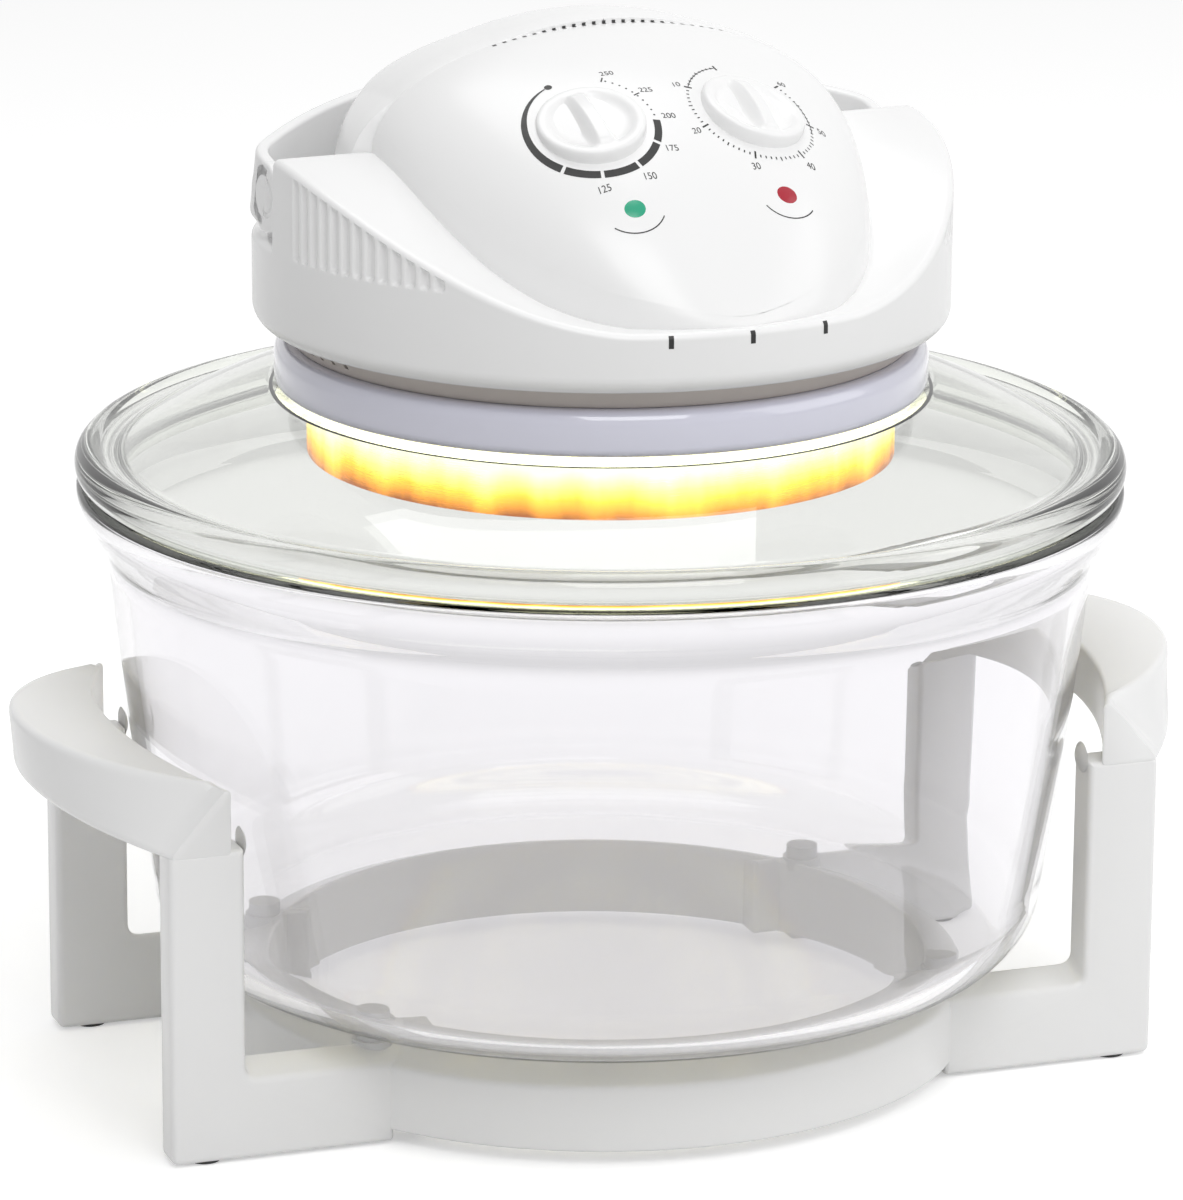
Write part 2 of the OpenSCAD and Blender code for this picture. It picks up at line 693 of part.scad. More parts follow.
module upper_housing() {
  angles = head_angles(0);
  inner_angles = head_angles(wall);
  n = len(angles);
  m = len(outer_column(0));
  k = len(inner_column(0));
  points = concat([for (a = angles) each outer_column(a)], [[0, 0, apex_z]],
                  [for (a = inner_angles) each inner_column(a)], [[0, 0, apex_z - wall]]);
  start = n * m + 1;
  caps = concat([for (i = [0:n - 1]) [(i + 1) * m - 1, n * m, ((i + 1) % n + 1) * m - 1]],
    [for (i = [0:n - 1]) [start + ((i + 1) % n + 1) * k - 1, start + n * k, start + (i + 1) * k - 1]],
    [for (i = [0:n - 1], h = [0, 1]) let (j = (i + 1) % n)
      h == 0 ? [i * m, j * m, start + i * k] : [j * m, start + j * k, start + i * k]]);
  faces = concat(sheet_faces(m, n, 0, true), sheet_faces(k, n, start, false), caps);
  color(white) on_lid() difference() {
    union() {
      polyhedron(points, faces);
      intersection() {
        panel_bosses();
        translate([0, 0, band_z]) cylinder(r = head_r - 3, h = dome_h);
      }
      for (s = [-1, 1]) {
        translate([s * ear_x, pivot_y, pivot_z]) rotate([0, -90 * s, 0])
          cylinder(r = bail_w / 2 - 1.5, h = ear_x - dome_x + 4);
        translate([s > 0 ? dome_x - 4 : -ear_x, pivot_y - bail_w / 2 + 1.5, rear_z - 2])
          cube([ear_x - dome_x + 4, bail_w - 3, pivot_z - rear_z + 2]);
      }
      at_housing_screws() screw_post();
    }
    panel_cuts();
    at_pivots() translate([0, 0, -60]) cylinder(r = pin_r + bore_gap, h = 120);
    at_housing_screws() translate([0, 0, band_z]) cylinder(r = 1.8 + screw_gap, h = 10);
    rotate([-90, 0, 0]) translate([0, -gland_z, 0]) cylinder(r = gland_r + seat_gap, h = 2 * head_r);
    for (s = [-1, 1], i = [0:groove_n - 1]) rotate([0, 0, s * (51 + 32 * i / (groove_n - 1))])
      translate([-0.7, -head_r - 1, band_z + 29.5]) cube([1.4, 2.1, shoulder_h]);
    for (a = [-13.5, 0, 13.5]) rotate([0, 0, a])
      translate([-0.8, -head_r - 1, crease_z - 5]) cube([1.6, 1.5, 8]);
    for (i = [-11:12]) let (x = 3.4 * i)
      translate([x - 0.6, -0.8, arch_z(abs(x)) - 11]) cube([1.2, 3.8, 8.6]);
  }
}

// A post from the lower housing's boss up into the dome's skin
module screw_post() {
  a = screw_angles[3];
  top = dome_z((screw_at + screw_post_r) / foot_radius(a, wall), a, wall) + 1.6;
  translate([0, 0, floor_z + 7.3]) cylinder(r = screw_post_r, h = top - floor_z - 7.3);
}

module at_pivots() {
  for (s = [-1, 1]) translate([s * 90, pivot_y, pivot_z]) rotate([0, 90, 0]) children();
}

module housing_screws() {
  color("#8f9296") on_lid() at_housing_screws() {
    translate([0, 0, floor_z - 2.2]) cylinder(r = 3.4, h = 2.2);
    translate([0, 0, floor_z - 1]) cylinder(r = 1.8, h = 15);
  }
}

motor_z = floor_z + floor_t + 15.5;
stack_z = motor_z + 4.5;
motor_hole = stack_w / 2 - 6;

module at_motor_screws() {
  for (x = [-1, 1], y = [-1, 1]) translate([x * motor_hole, y * motor_hole, 0]) children();
}

// The lower bearing plate reaches past the cooling fan to two posts
module at_motor_mounts() {
  for (x = [-1, 1]) translate([x * mount_x, 0, 0]) children();
}

mount_x = cool_fan_r + 6;

module motor_stack() {
  color("#7d8186") on_lid() difference() {
    translate([-stack_w / 2, -stack_w / 2, stack_z]) cube([stack_w, stack_w, stack_h]);
    translate([0, 0, stack_z - 1]) cylinder(r = rotor_r + 0.4, h = stack_h + 2);
    at_motor_screws() translate([0, 0, stack_z - 1]) cylinder(r = 1.5 + screw_gap, h = stack_h + 2);
    translate([-13, rotor_r + 5, stack_z - 1]) cube([26, 6, stack_h + 2]);
  }
}

module motor_coil() {
  color("#b5651d") on_lid() difference() {
    translate([-12, stack_w / 2 - 6, stack_z - 3.5]) cube([24, 12.5, stack_h + 7]);
    translate([-14, stack_w / 2 - 7, stack_z - seat_gap])
      cube([28, 7 + seat_gap, stack_h + 2 * seat_gap]);
  }
}

// Two bearing plates, above and below the stack, with a bush in each
module motor_brackets() {
  color(steel) on_lid() for (z = [motor_z, stack_z + stack_h + 3]) difference() {
    union() {
      half = z < stack_z ? mount_x + 6 : stack_w / 2 - 2;
      translate([-half, -10, z]) cube([2 * half, 20, 1.5]);
      for (x = [-1, 1]) translate([x > 0 ? motor_hole - 4 : -motor_hole - 4, -motor_hole - 4, z])
        cube([8, 2 * motor_hole + 8, 1.5]);
      translate([0, 0, z - 1]) cylinder(r = shaft_r + 3, h = 3.5);
      at_motor_screws() translate([0, 0, z < stack_z ? z : stack_z + stack_h])
        cylinder(r = 3.4, h = 4.5);
    }
    translate([0, 0, z - 2]) cylinder(r = shaft_r + bore_gap, h = 6);
    at_motor_screws() translate([0, 0, z - 5]) cylinder(r = 1.5 + screw_gap, h = 12);
    at_motor_mounts() translate([0, 0, z - 5]) cylinder(r = 1.5 + screw_gap, h = 8);
  }
}

module motor_screws() {
  top = stack_z + stack_h + 4.5;
  color("#8f9296") on_lid() at_motor_screws() {
    translate([0, 0, top]) cylinder(r = 3, h = 2);
    translate([0, 0, motor_z - 1]) cylinder(r = 1.5, h = top - motor_z + 2);
    translate([0, 0, motor_z - 2]) cylinder(r = 2.8, h = 2, $fn = 6);
  }
  color("#8f9296") on_lid() at_motor_mounts() {
    translate([0, 0, motor_z + 1.5]) cylinder(r = 3, h = 2);
    translate([0, 0, motor_z - 6]) cylinder(r = 1.5, h = 8);
  }
}

module motor_rotor() {
  color("#9a9da1") on_lid() difference() {
    translate([0, 0, stack_z - 1]) cylinder(r = rotor_r, h = stack_h + 2);
    translate([0, 0, stack_z - 2]) cylinder(r = shaft_r + 0.02, h = stack_h + 4);
  }
}

hot_fan_z = lamp_z + 2;

module fan_shaft() {
  color(steel) on_lid() translate([0, 0, hot_fan_z - 6])
    cylinder(r = shaft_r, h = stack_z + stack_h + 8 - hot_fan_z + 6);
}

// A fan with a pressed disc, folded blades and a hub that the shaft passes through
module fan_wheel(r, z, n, blade_h, hub_h, lean) {
  translate([0, 0, z]) difference() {
    union() {
      cylinder(r = 0.62 * r, h = 1);
      cylinder(r = shaft_r + 4, h = hub_h);
      for (i = [0:n - 1]) rotate([0, 0, 360 * i / n]) translate([0.3 * r, 0, 0.5])
        rotate([lean, 0, 0]) translate([0, -0.5, 0]) cube([0.7 * r, 1, blade_h]);
    }
    translate([0, 0, -1]) cylinder(r = shaft_r + 0.02, h = hub_h + 2);
  }
}

module hot_air_fan() {
  color("#d0d3d7") on_lid() fan_wheel(hot_fan_r, hot_fan_z, 8, 7, 6, 20);
}

module cooling_fan() {
  color("#e0e0dc") on_lid() fan_wheel(cool_fan_r, floor_z + floor_t + 3, 9, 7.5, 8, -20);
}

module fan_nut() {
  color("#8f9296") on_lid() translate([0, 0, hot_fan_z - 4.2]) difference() {
    cylinder(r = shaft_r + 3, h = 4, $fn = 6);
    translate([0, 0, -1]) cylinder(r = shaft_r + 0.02, h = 6);
  }
}

// A control: a round can behind the panel, with a threaded neck in the boss
module control_unit(r, h) {
  difference() {
    union() {
      translate([0, 0, -6 - h]) cylinder(r = r, h = h);
      translate([-4, r - 2, -6 - h + 3]) cube([8, 5, 6]);
    }
    translate([0, 0, -6 - h + 3]) cylinder(r = spindle_r + bore_gap, h = h + 4);
  }
}

module timer_unit() {
  color("#c8b98a") at_dial(1) control_unit(19, 24);
}

module thermostat_unit() {
  color("#b9bcc0") at_dial(-1) control_unit(17, 18);
}

module spindle(l) {
  translate([0, 0, -6 - l]) cylinder(r = spindle_r, h = l + 6 + knob_h - 2);
}

module timer_spindle() {
  color(steel) at_dial(1) spindle(18);
}

module thermostat_spindle() {
  color(steel) at_dial(-1) spindle(13);
}

// A knob: a dished disc with a raised bar across it
module knob() {
  difference() {
    union() {
      rotate_extrude() polygon([
        [0, -0.9], [knob_r - 0.6, -0.9], [knob_r, -0.3], [knob_r, knob_h - 1.6],
        [knob_r - 1.5, knob_h], [knob_r - 3.5, knob_h], [knob_r - 5.5, knob_h - 1.6],
        [0, knob_h - 2.2]]);
      intersection() {
        translate([-3.2, -knob_r, 0]) cube([6.4, 2 * knob_r, knob_h + 3.5]);
        cylinder(r = knob_r - 1.6, h = knob_h + 4);
        translate([0, 0, knob_h + 3.5 - 48]) rotate([0, 90, 0])
          cylinder(r = 48, h = 20, center = true);
      }
    }
    translate([0, 0, -2]) cylinder(r = spindle_r + 0.02, h = knob_h + 0.02);
  }
}

module timer_knob() {
  color(white) at_dial(1) knob();
}

module temperature_knob() {
  color(white) at_dial(-1) knob();
}

module lens() {
  intersection() {
    translate([0, 0, -1.2]) cylinder(r = lens_r, h = 6);
    translate([0, 0, 3 - 12]) sphere(12);
  }
  translate([0, 0, -4]) cylinder(r = lens_r - 1.6, h = 4);
}

module heat_lens() {
  color("#0e8a5f") at_lens(-1) lens();
}

module power_lens() {
  color("#8e1220") at_lens(1) lens();
}

module indicator_lamps() {
  color("#e8c8a0") for (s = [-1, 1]) at_lens(s) {
    translate([0, 0, -16]) cylinder(r = 3.4, h = 11.7);
    translate([0, 0, -18]) cylinder(r = lens_r + 0.6, h = 3);
    for (a = [0, 120, 240]) rotate([0, 0, a]) translate([lens_r - 1, -1, -16]) cube([1.4, 2, 9.7]);
  }
}

// The interlock: a lever on the handle's pin presses a plunger while the handle rests
lever_l = 10;
lever_t = 2;
switch_x = -62;
switch_y = pivot_y + lever_l * cos(bail_lean / 2);
switch_h = 18;
tip_r = 2;
tip_z = pivot_z - (lever_t + tip_r + seat_gap + lever_l * cos(bail_lean / 2) * sin(bail_lean / 2))
  / cos(bail_lean / 2);
switch_z = tip_z + tip_r - 4 - switch_h;

module interlock_switch() {
  color("#2c2c2c") on_lid() difference() {
    translate([switch_x - 5, switch_y - 8, switch_z]) cube([10, 16, switch_h]);
    translate([switch_x, switch_y, switch_z + 2])
      cylinder(r = tip_r + bore_gap, h = switch_h);
  }
}

module interlock_plunger() {
  color("#d94f2a") on_lid() translate([switch_x, switch_y, 0]) rotate_extrude()
    polygon(concat([[0, switch_z + 3], [tip_r, switch_z + 3]],
      [for (i = [0:6]) [tip_r * cos(15 * i), tip_z + tip_r * sin(15 * i)]]));
}

// The handle's own plane: X across, Y away from the pivots. An arm, a turn and the arch,
// t inside the outer face
function arc_points(x, y, r, a0, a1, n) =
  [for (i = [0:n]) let (a = a0 + (a1 - a0) * i / n) [x + r * cos(a), y + r * sin(a)]];

function bail_outline(t, foot) =
  let (turn_x = bail_x - bail_turn, middle = bail_h - bail_arch,
       rise = sqrt(pow(bail_arch - bail_turn, 2) - pow(turn_x, 2)), a = atan2(rise, turn_x))
  concat([[bail_x - t, foot]],
         arc_points(turn_x, middle + rise, bail_turn - t, 0, a - 2, 8),
         arc_points(0, middle, bail_arch - t, a, 180 - a, 60),
         arc_points(-turn_x, middle + rise, bail_turn - t, 182 - a, 180, 8),
         [[t - bail_x, foot]]);

// Turns its children from the handle's plane to where the resting handle lies
module in_bail() {
  on_lid() translate([0, pivot_y, pivot_z]) rotate([90 - bail_lean, 0, 0]) children();
}

module carry_handle() {
  color(white) in_bail() difference() {
    union() {
      translate([0, 0, -bail_w / 2]) linear_extrude(height = bail_w) difference() {
        polygon(bail_outline(0, 0));
        polygon(bail_outline(bail_t, -1));
      }
      for (s = [-1, 1]) translate([s > 0 ? bail_x - bail_t : -bail_x, 0, 0])
        rotate([0, 90, 0]) cylinder(r = lug_r, h = bail_t);
    }
    rotate([0, 90, 0]) cylinder(r = pin_r + 0.02, h = 3 * bail_x, center = true);
  }
}

module handle_pins() {
  color(steel) in_bail() for (s = [-1, 1]) translate([s > 0 ? 58 : -bail_x + 0.5, 0, 0])
    rotate([0, 90, 0]) cylinder(r = pin_r, h = bail_x - 58.5);
}

module interlock_lever() {
  color("#d0d0d0") on_lid() translate([switch_x, pivot_y, pivot_z])
    rotate([-bail_lean / 2, 0, 0]) difference() {
      union() {
        rotate([0, 90, 0]) cylinder(r = pin_r + 1.4, h = 4, center = true);
        translate([-2, 0, -lever_t]) cube([4, lever_l + 2, 2 * lever_t]);
      }
      rotate([0, 90, 0]) cylinder(r = pin_r + 0.02, h = 6, center = true);
    }
}

module thermal_fuse() {
  color("#d9b38c") on_lid() translate([30, 40, shield_z + sheet + 2.3])
    rotate([0, 90, 0]) cylinder(r = 2.3, h = 14, center = true);
}

module terminal_block() {
  color("#ededdd") on_lid() difference() {
    translate([-14, 66, floor_z + floor_t]) cube([28, 12, 11]);
    for (x = [-9, 0, 9]) translate([x, 60, floor_z + floor_t + 5.5]) rotate([-90, 0, 0])
      cylinder(r = 2, h = 24);
  }
}

gland_r = 6;
gland_z = band_z + 12;

// The mains lead's inlet in the rear of the band
module cord_gland() {
  color("#d8d8d8") on_lid() translate([0, 0, gland_z]) rotate([-90, 0, 0]) difference() {
    union() {
      translate([0, 0, head_r - 12]) cylinder(r = gland_r, h = 16);
      translate([0, 0, head_r + seat_gap]) cylinder(r = gland_r + 2, h = 2.5);
      translate([0, 0, head_r - 12]) cylinder(r = gland_r + 1.6, h = 2);
    }
    translate([0, 0, head_r - 13]) cylinder(r = 3.5, h = 20);
  }
}

stand_frame();
bowl_rests();
side_stops();
stand_feet();
glass_bowl();
glass_lid();
upper_gasket();
lower_gasket();
lid_collar();
heater_shroud();
insulation_pad();
heat_shield();
clamp_screws();
halogen_lamp();
lamp_filament();
lamp_caps();
lamp_clips();
heater_guard();
guard_clips();
lower_housing();
upper_housing();
housing_screws();
motor_stack();
motor_coil();
motor_brackets();
motor_screws();
motor_rotor();
fan_shaft();
hot_air_fan();
cooling_fan();
fan_nut();
timer_unit();
timer_spindle();
timer_knob();
thermostat_unit();
thermostat_spindle();
temperature_knob();
heat_lens();
power_lens();
indicator_lamps();
interlock_switch();
interlock_plunger();
carry_handle();
handle_pins();
interlock_lever();
thermal_fuse();
terminal_block();
cord_gland();
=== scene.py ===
"""Countertop halogen oven: a glass bowl in a white stand, under a lid with a domed head.

Every surface is worked out with numpy in millimetres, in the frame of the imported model, and is
turned into a mesh in metres. The head's pieces are worked out in the head's own axes and are
turned onto the lid by HEAD_TURN.
"""
import logging
import math
from dataclasses import dataclass, field
from enum import Enum
from typing import Callable, Sequence, Union

import bmesh
import bpy
import numpy as np
from mathutils import Matrix, Vector


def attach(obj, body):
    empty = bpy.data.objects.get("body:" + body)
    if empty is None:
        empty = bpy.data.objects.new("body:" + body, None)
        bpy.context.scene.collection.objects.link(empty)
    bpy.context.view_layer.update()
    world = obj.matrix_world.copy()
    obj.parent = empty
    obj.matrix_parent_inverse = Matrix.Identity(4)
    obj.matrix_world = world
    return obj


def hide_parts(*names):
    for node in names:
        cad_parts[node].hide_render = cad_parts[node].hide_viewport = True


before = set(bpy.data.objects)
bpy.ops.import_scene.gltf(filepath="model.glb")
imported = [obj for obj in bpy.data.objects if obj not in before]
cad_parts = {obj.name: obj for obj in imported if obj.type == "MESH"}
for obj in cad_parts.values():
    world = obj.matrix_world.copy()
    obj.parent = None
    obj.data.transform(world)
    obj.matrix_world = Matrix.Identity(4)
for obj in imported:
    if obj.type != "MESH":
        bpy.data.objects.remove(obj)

LOG = logging.getLogger("halogen_oven")
MM = 0.001
HEAD_TURN = 5.0
Array = np.ndarray
Colour = tuple[float, float, float]
Socket = bpy.types.NodeSocket


class Body(Enum):
    """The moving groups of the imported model."""

    STAND = "stand"
    BOWL = "bowl"
    HEAD = "lid_head"
    HANDLE = "handle"
    TIMER = "timer_dial"
    TEMPERATURE = "temperature_dial"


# ---------------------------------------------------------------- shapes worked out with numpy


def turned(points: Array, degrees: float = HEAD_TURN) -> Array:
    """Turns points about the upright axis through the origin.

    Args:
        points: array whose last axis holds x, y, z.
        degrees: angle, positive from +X towards +Y.

    Returns:
        The turned points in a new array.
    """
    c, s = math.cos(math.radians(degrees)), math.sin(math.radians(degrees))
    x, y, z = points[..., 0], points[..., 1], points[..., 2]
    return np.stack([c * x - s * y, s * x + c * y, z], -1)


def tilted(points: Array, degrees: float, axis: str) -> Array:
    """Turns points about the X or the Y axis.

    Args:
        points: array whose last axis holds x, y, z.
        degrees: angle by the right-hand rule.
        axis: "X" or "Y".

    Returns:
        The turned points in a new array.
    """
    matrix = np.array(Matrix.Rotation(math.radians(degrees), 3, axis))
    return points @ matrix.T


def ramp(x: Array, start: float, end: float) -> Array:
    """A smooth step from 0 at start to 1 at end: three times the square less twice the cube.

    Args:
        x: values.
        start: where the step begins.
        end: where it is complete.

    Returns:
        The step's height at each value.
    """
    t = np.clip((x - start) / (end - start), 0.0, 1.0)
    return t * t * (3.0 - 2.0 * t)


def rounded(corners: Sequence[tuple[float, ...]], closed: bool = False, steps: int = 5) -> Array:
    """A polyline whose corners are rounded by quadratic curves.

    At each corner the line leaves one side the corner's radius before the corner, bends with
    the corner as its control point, and joins the other side the same distance after it.

    Args:
        corners: rows of u, v and the rounding's reach. A reach of 0 keeps the corner sharp.
        closed: whether the last corner joins the first.
        steps: pieces that one rounding is cut into.

    Returns:
        Points in rows of u, v.
    """
    table = np.array([(c[0], c[1], c[2] if len(c) > 2 else 0.0) for c in corners])
    count = len(table)
    out = []
    for i, (u, v, reach) in enumerate(table):
        inner = closed or 0 < i < count - 1
        if reach <= 0 or not inner:
            out.append(np.array([[u, v]]))
            continue
        here = np.array([u, v])
        before = table[(i - 1) % count, :2] - here
        after = table[(i + 1) % count, :2] - here
        a = here + before * min(0.5, reach / np.linalg.norm(before))
        b = here + after * min(0.5, reach / np.linalg.norm(after))
        t = np.linspace(0, 1, steps + 1)[:, None]
        out.append((1 - t) ** 2 * a + 2 * t * (1 - t) * here + t * t * b)
    return np.concatenate(out)


def spun(profile: Array, segments: int = 192) -> Array:
    """A profile of radius and height carried round the upright axis.

    Args:
        profile: rows of radius, height.
        segments: columns round the axis.

    Returns:
        A grid of segments by len(profile) points.
    """
    a = np.linspace(0, 2 * np.pi, segments, endpoint=False)[:, None]
    r, z = profile[None, :, 0], profile[None, :, 1]
    return np.stack([r * np.sin(a), -r * np.cos(a), z + 0 * a], -1)


class Surface:
    """Collects grids and flat faces in millimetres, and makes one object of them in metres."""

    def __init__(self) -> None:
        """Starts with no points and no faces."""
        self.points: list[Array] = []
        self.faces: list[Array] = []
        self.patches: list[tuple[list[int], int]] = []
        self.count = 0

    def grid(self, grid: Array, wrap_u: bool = False, wrap_v: bool = False,
             flip: bool = False) -> "Surface":
        """Adds the quads between neighbours of a grid.

        Args:
            grid: n by m by 3 points.
            wrap_u: whether the last row joins the first.
            wrap_v: whether the last column joins the first.
            flip: turns the faces over.

        Returns:
            The surface itself.
        """
        n, m = grid.shape[:2]
        index = np.arange(n * m).reshape(n, m) + self.count
        i = np.arange(n if wrap_u else n - 1)[:, None]
        j = np.arange(m if wrap_v else m - 1)[None, :]
        a, b = index[i, j], index[(i + 1) % n, j]
        c, d = index[(i + 1) % n, (j + 1) % m], index[i, (j + 1) % m]
        quads = np.stack([a, b, c, d] if not flip else [d, c, b, a], -1).reshape(-1, 4)
        self.points.append(grid.reshape(-1, 3))
        self.faces.append(quads)
        self.count += n * m
        return self

    def patch(self, ring: Array, flip: bool = False) -> "Surface":
        """Adds one flat face with many corners.

        Args:
            ring: k by 3 points in order round the face.
            flip: turns the face over.

        Returns:
            The surface itself.
        """
        loop = list(range(self.count, self.count + len(ring)))
        self.patches.append((loop[::-1] if flip else loop, len(ring)))
        self.points.append(ring)
        self.count += len(ring)
        return self

    def build(self, name: str, crease: float = 40.0, merge: float = 1e-6,
              recalculate: bool = False) -> bpy.types.Object:
        """Makes the object, merges points that meet, and shades it smooth up to an angle.

        Args:
            name: the object's name.
            crease: edges sharper than this many degrees stay sharp.
            merge: points closer than this many metres become one.
            recalculate: works the normals out again so that they point outwards.

        Returns:
            The object, linked to the scene.
        """
        points = np.concatenate(self.points) * MM
        mesh = bpy.data.meshes.new(name)
        faces = [face for block in self.faces for face in block.tolist()]
        faces += [loop for loop, _ in self.patches]
        mesh.from_pydata(points.tolist(), [], faces)
        mesh.validate()
        if merge > 0:
            work = bmesh.new()
            work.from_mesh(mesh)
            bmesh.ops.remove_doubles(work, verts=work.verts, dist=merge)
            if recalculate:
                bmesh.ops.recalc_face_normals(work, faces=work.faces)
            work.to_mesh(mesh)
            work.free()
        mesh.polygons.foreach_set("use_smooth", np.ones(len(mesh.polygons), dtype=bool))
        mesh.set_sharp_from_angle(angle=math.radians(crease))
        mesh.update()
        obj = bpy.data.objects.new(name, mesh)
        bpy.context.scene.collection.objects.link(obj)
        return obj


def spun_surface(profile: Array, segments: int = 192, turn: float = 0.0,
                 closed: bool = True) -> Surface:
    """A solid of revolution: the profile spun about the upright axis.

    Args:
        profile: rows of radius, height, going anticlockwise seen with the axis at the left.
        segments: columns round the axis.
        turn: angle that the whole is turned by.
        closed: whether the profile's end joins its start.

    Returns:
        The surface.
    """
    return Surface().grid(turned(spun(profile, segments), turn), wrap_u=True, wrap_v=closed)


def drawn_in(corners: Array, inset: float) -> Array:
    """Corners of a closed outline moved inwards so that every side moves by the same distance.

    Args:
        corners: rows of u, v and the rounding's reach, anticlockwise.
        inset: how far each side moves in.

    Returns:
        The new corners. A reach shrinks at an outward corner and grows at an inward one.
    """
    here = corners[:, :2]
    ahead = np.roll(here, -1, 0) - here
    ahead /= np.linalg.norm(ahead, axis=1, keepdims=True)
    behind = np.roll(ahead, 1, 0)
    turn = behind[:, 0] * ahead[:, 1] - behind[:, 1] * ahead[:, 0]
    normal = np.stack([-ahead[:, 1], ahead[:, 0]], -1)
    normal_behind = np.roll(normal, 1, 0)
    share = inset / np.maximum(1 + (normal * normal_behind).sum(1), 0.15)
    moved = here + (normal + normal_behind) * share[:, None]
    reach = np.maximum(corners[:, 2] - inset * np.sign(turn), 0.15)
    return np.concatenate([moved, reach[:, None]], 1)


def plate(corners: Sequence[tuple[float, float, float]], low: float, high: float, edge: float,
          steps: int = 4) -> Surface:
    """A flat plate with rounded corners and rounded edges on both faces.

    The outline is stacked along the third axis. Near each face the outline is drawn in by
    edge times (1 - sine) while it rises by edge times (1 - cosine).

    Args:
        corners: rows of u, v and the rounding's reach, anticlockwise.
        low: first face's place on the third axis.
        high: second face's place on the third axis.
        edge: radius of the edges.
        steps: rings in one rounded edge.

    Returns:
        The surface in u, v, w order of its coordinates.
    """
    table = np.array(corners, float)
    a = np.linspace(0, np.pi / 2, steps + 1)
    insets = np.concatenate([edge * (1 - np.sin(a)), edge * (1 - np.sin(a[::-1]))])
    heights = np.concatenate([low + edge * (1 - np.cos(a)), high - edge * (1 - np.cos(a[::-1]))])
    rings = []
    for inset, height in zip(insets, heights):
        ring = rounded(drawn_in(table, inset).tolist(), closed=True)
        rings.append(np.concatenate([ring, np.full((len(ring), 1), height)], 1))
    grid = np.stack(rings)
    surface = Surface().grid(grid, wrap_v=True, flip=True)
    return surface.patch(grid[0], flip=True).patch(grid[-1])


def placed(surface: Surface, where: Callable[[Array], Array]) -> Surface:
    """Moves all of a surface's points.

    Args:
        surface: the surface to move.
        where: gives the new points for an array of old ones.

    Returns:
        The same surface.
    """
    surface.points = [where(p) for p in surface.points]
    return surface


def joined(*surfaces: Surface) -> Surface:
    """One surface that holds all the given ones.

    Args:
        surfaces: surfaces that become parts of one object.

    Returns:
        The new surface.
    """
    whole = Surface()
    for part in surfaces:
        whole.points += part.points
        whole.faces += [f + whole.count for f in part.faces]
        whole.patches += [([i + whole.count for i in loop], k) for loop, k in part.patches]
        whole.count += part.count
    return whole


# ---------------------------------------------------------------- finishes


def linear(value: float) -> float:
    """A display value from 0 to 1 as scene-linear light."""
    return value / 12.92 if value <= 0.04045 else ((value + 0.055) / 1.055) ** 2.4


def shade(red: float, green: float, blue: float) -> tuple[float, float, float, float]:
    """A display colour as a scene-linear colour with full opacity."""
    return linear(red), linear(green), linear(blue), 1.0


def sockets(node: bpy.types.Node, values: dict[str, object]) -> bpy.types.Node:
    """Sets a node's inputs by name.

    Args:
        node: the node.
        values: input name to value or to a socket that feeds it.

    Returns:
        The node itself.
    """
    tree = node.id_data
    for name, value in values.items():
        if isinstance(value, bpy.types.NodeSocket):
            tree.links.new(value, node.inputs[name])
        else:
            node.inputs[name].default_value = value
    return node


class Group(Enum):
    """Shader node groups that several finishes share."""

    MOULDED = "moulded_surface"
    BRUSHED = "brushed_surface"
    DUSTED = "handled_surface"


def new_group(name: str, inputs: dict[str, float],
              outputs: dict[str, str]) -> tuple[bpy.types.NodeTree, bpy.types.Node, bpy.types.Node]:
    """Makes an empty shader node group with named sockets.

    Args:
        name: the group's name.
        inputs: input name to default number.
        outputs: output name to socket type.

    Returns:
        The tree, its input node and its output node.
    """
    tree = bpy.data.node_groups.new(name, "ShaderNodeTree")
    for key, value in inputs.items():
        socket = tree.interface.new_socket(key, in_out="INPUT", socket_type="NodeSocketFloat")
        socket.default_value = value
    for key, kind in outputs.items():
        tree.interface.new_socket(key, in_out="OUTPUT", socket_type=kind)
    return tree, tree.nodes.new("NodeGroupInput"), tree.nodes.new("NodeGroupOutput")


def object_noise(tree: bpy.types.NodeTree, scale: Union[float, Socket],
                 stretch: tuple[float, float, float] = (1.0, 1.0, 1.0),
                 detail: float = 4.0) -> Socket:
    """Noise on Object coordinates.

    Args:
        tree: the node tree.
        scale: noise cells per metre.
        stretch: factors along X, Y and Z.
        detail: octaves.

    Returns:
        The noise's value output, about 0.5 in the middle.
    """
    place = tree.nodes.new("ShaderNodeTexCoord")
    mapping = sockets(tree.nodes.new("ShaderNodeMapping"), {"Vector": place.outputs["Object"],
                                                            "Scale": stretch})
    noise = tree.nodes.new("ShaderNodeTexNoise")
    sockets(noise, {"Vector": mapping.outputs["Vector"], "Scale": scale, "Detail": detail})
    return noise.outputs["Fac"]


def spread(tree: bpy.types.NodeTree, value: Socket, low: Union[float, Socket],
           high: Union[float, Socket], from_low: float = 0.3, from_high: float = 0.7) -> Socket:
    """Maps a value to a range.

    Args:
        tree: the node tree.
        value: the value to map.
        low: result at from_low.
        high: result at from_high.
        from_low: value that gives low.
        from_high: value that gives high.

    Returns:
        The mapped value.
    """
    node = tree.nodes.new("ShaderNodeMapRange")
    sockets(node, {"Value": value, "From Min": from_low, "From Max": from_high,
                   "To Min": low, "To Max": high})
    return node.outputs["Result"]


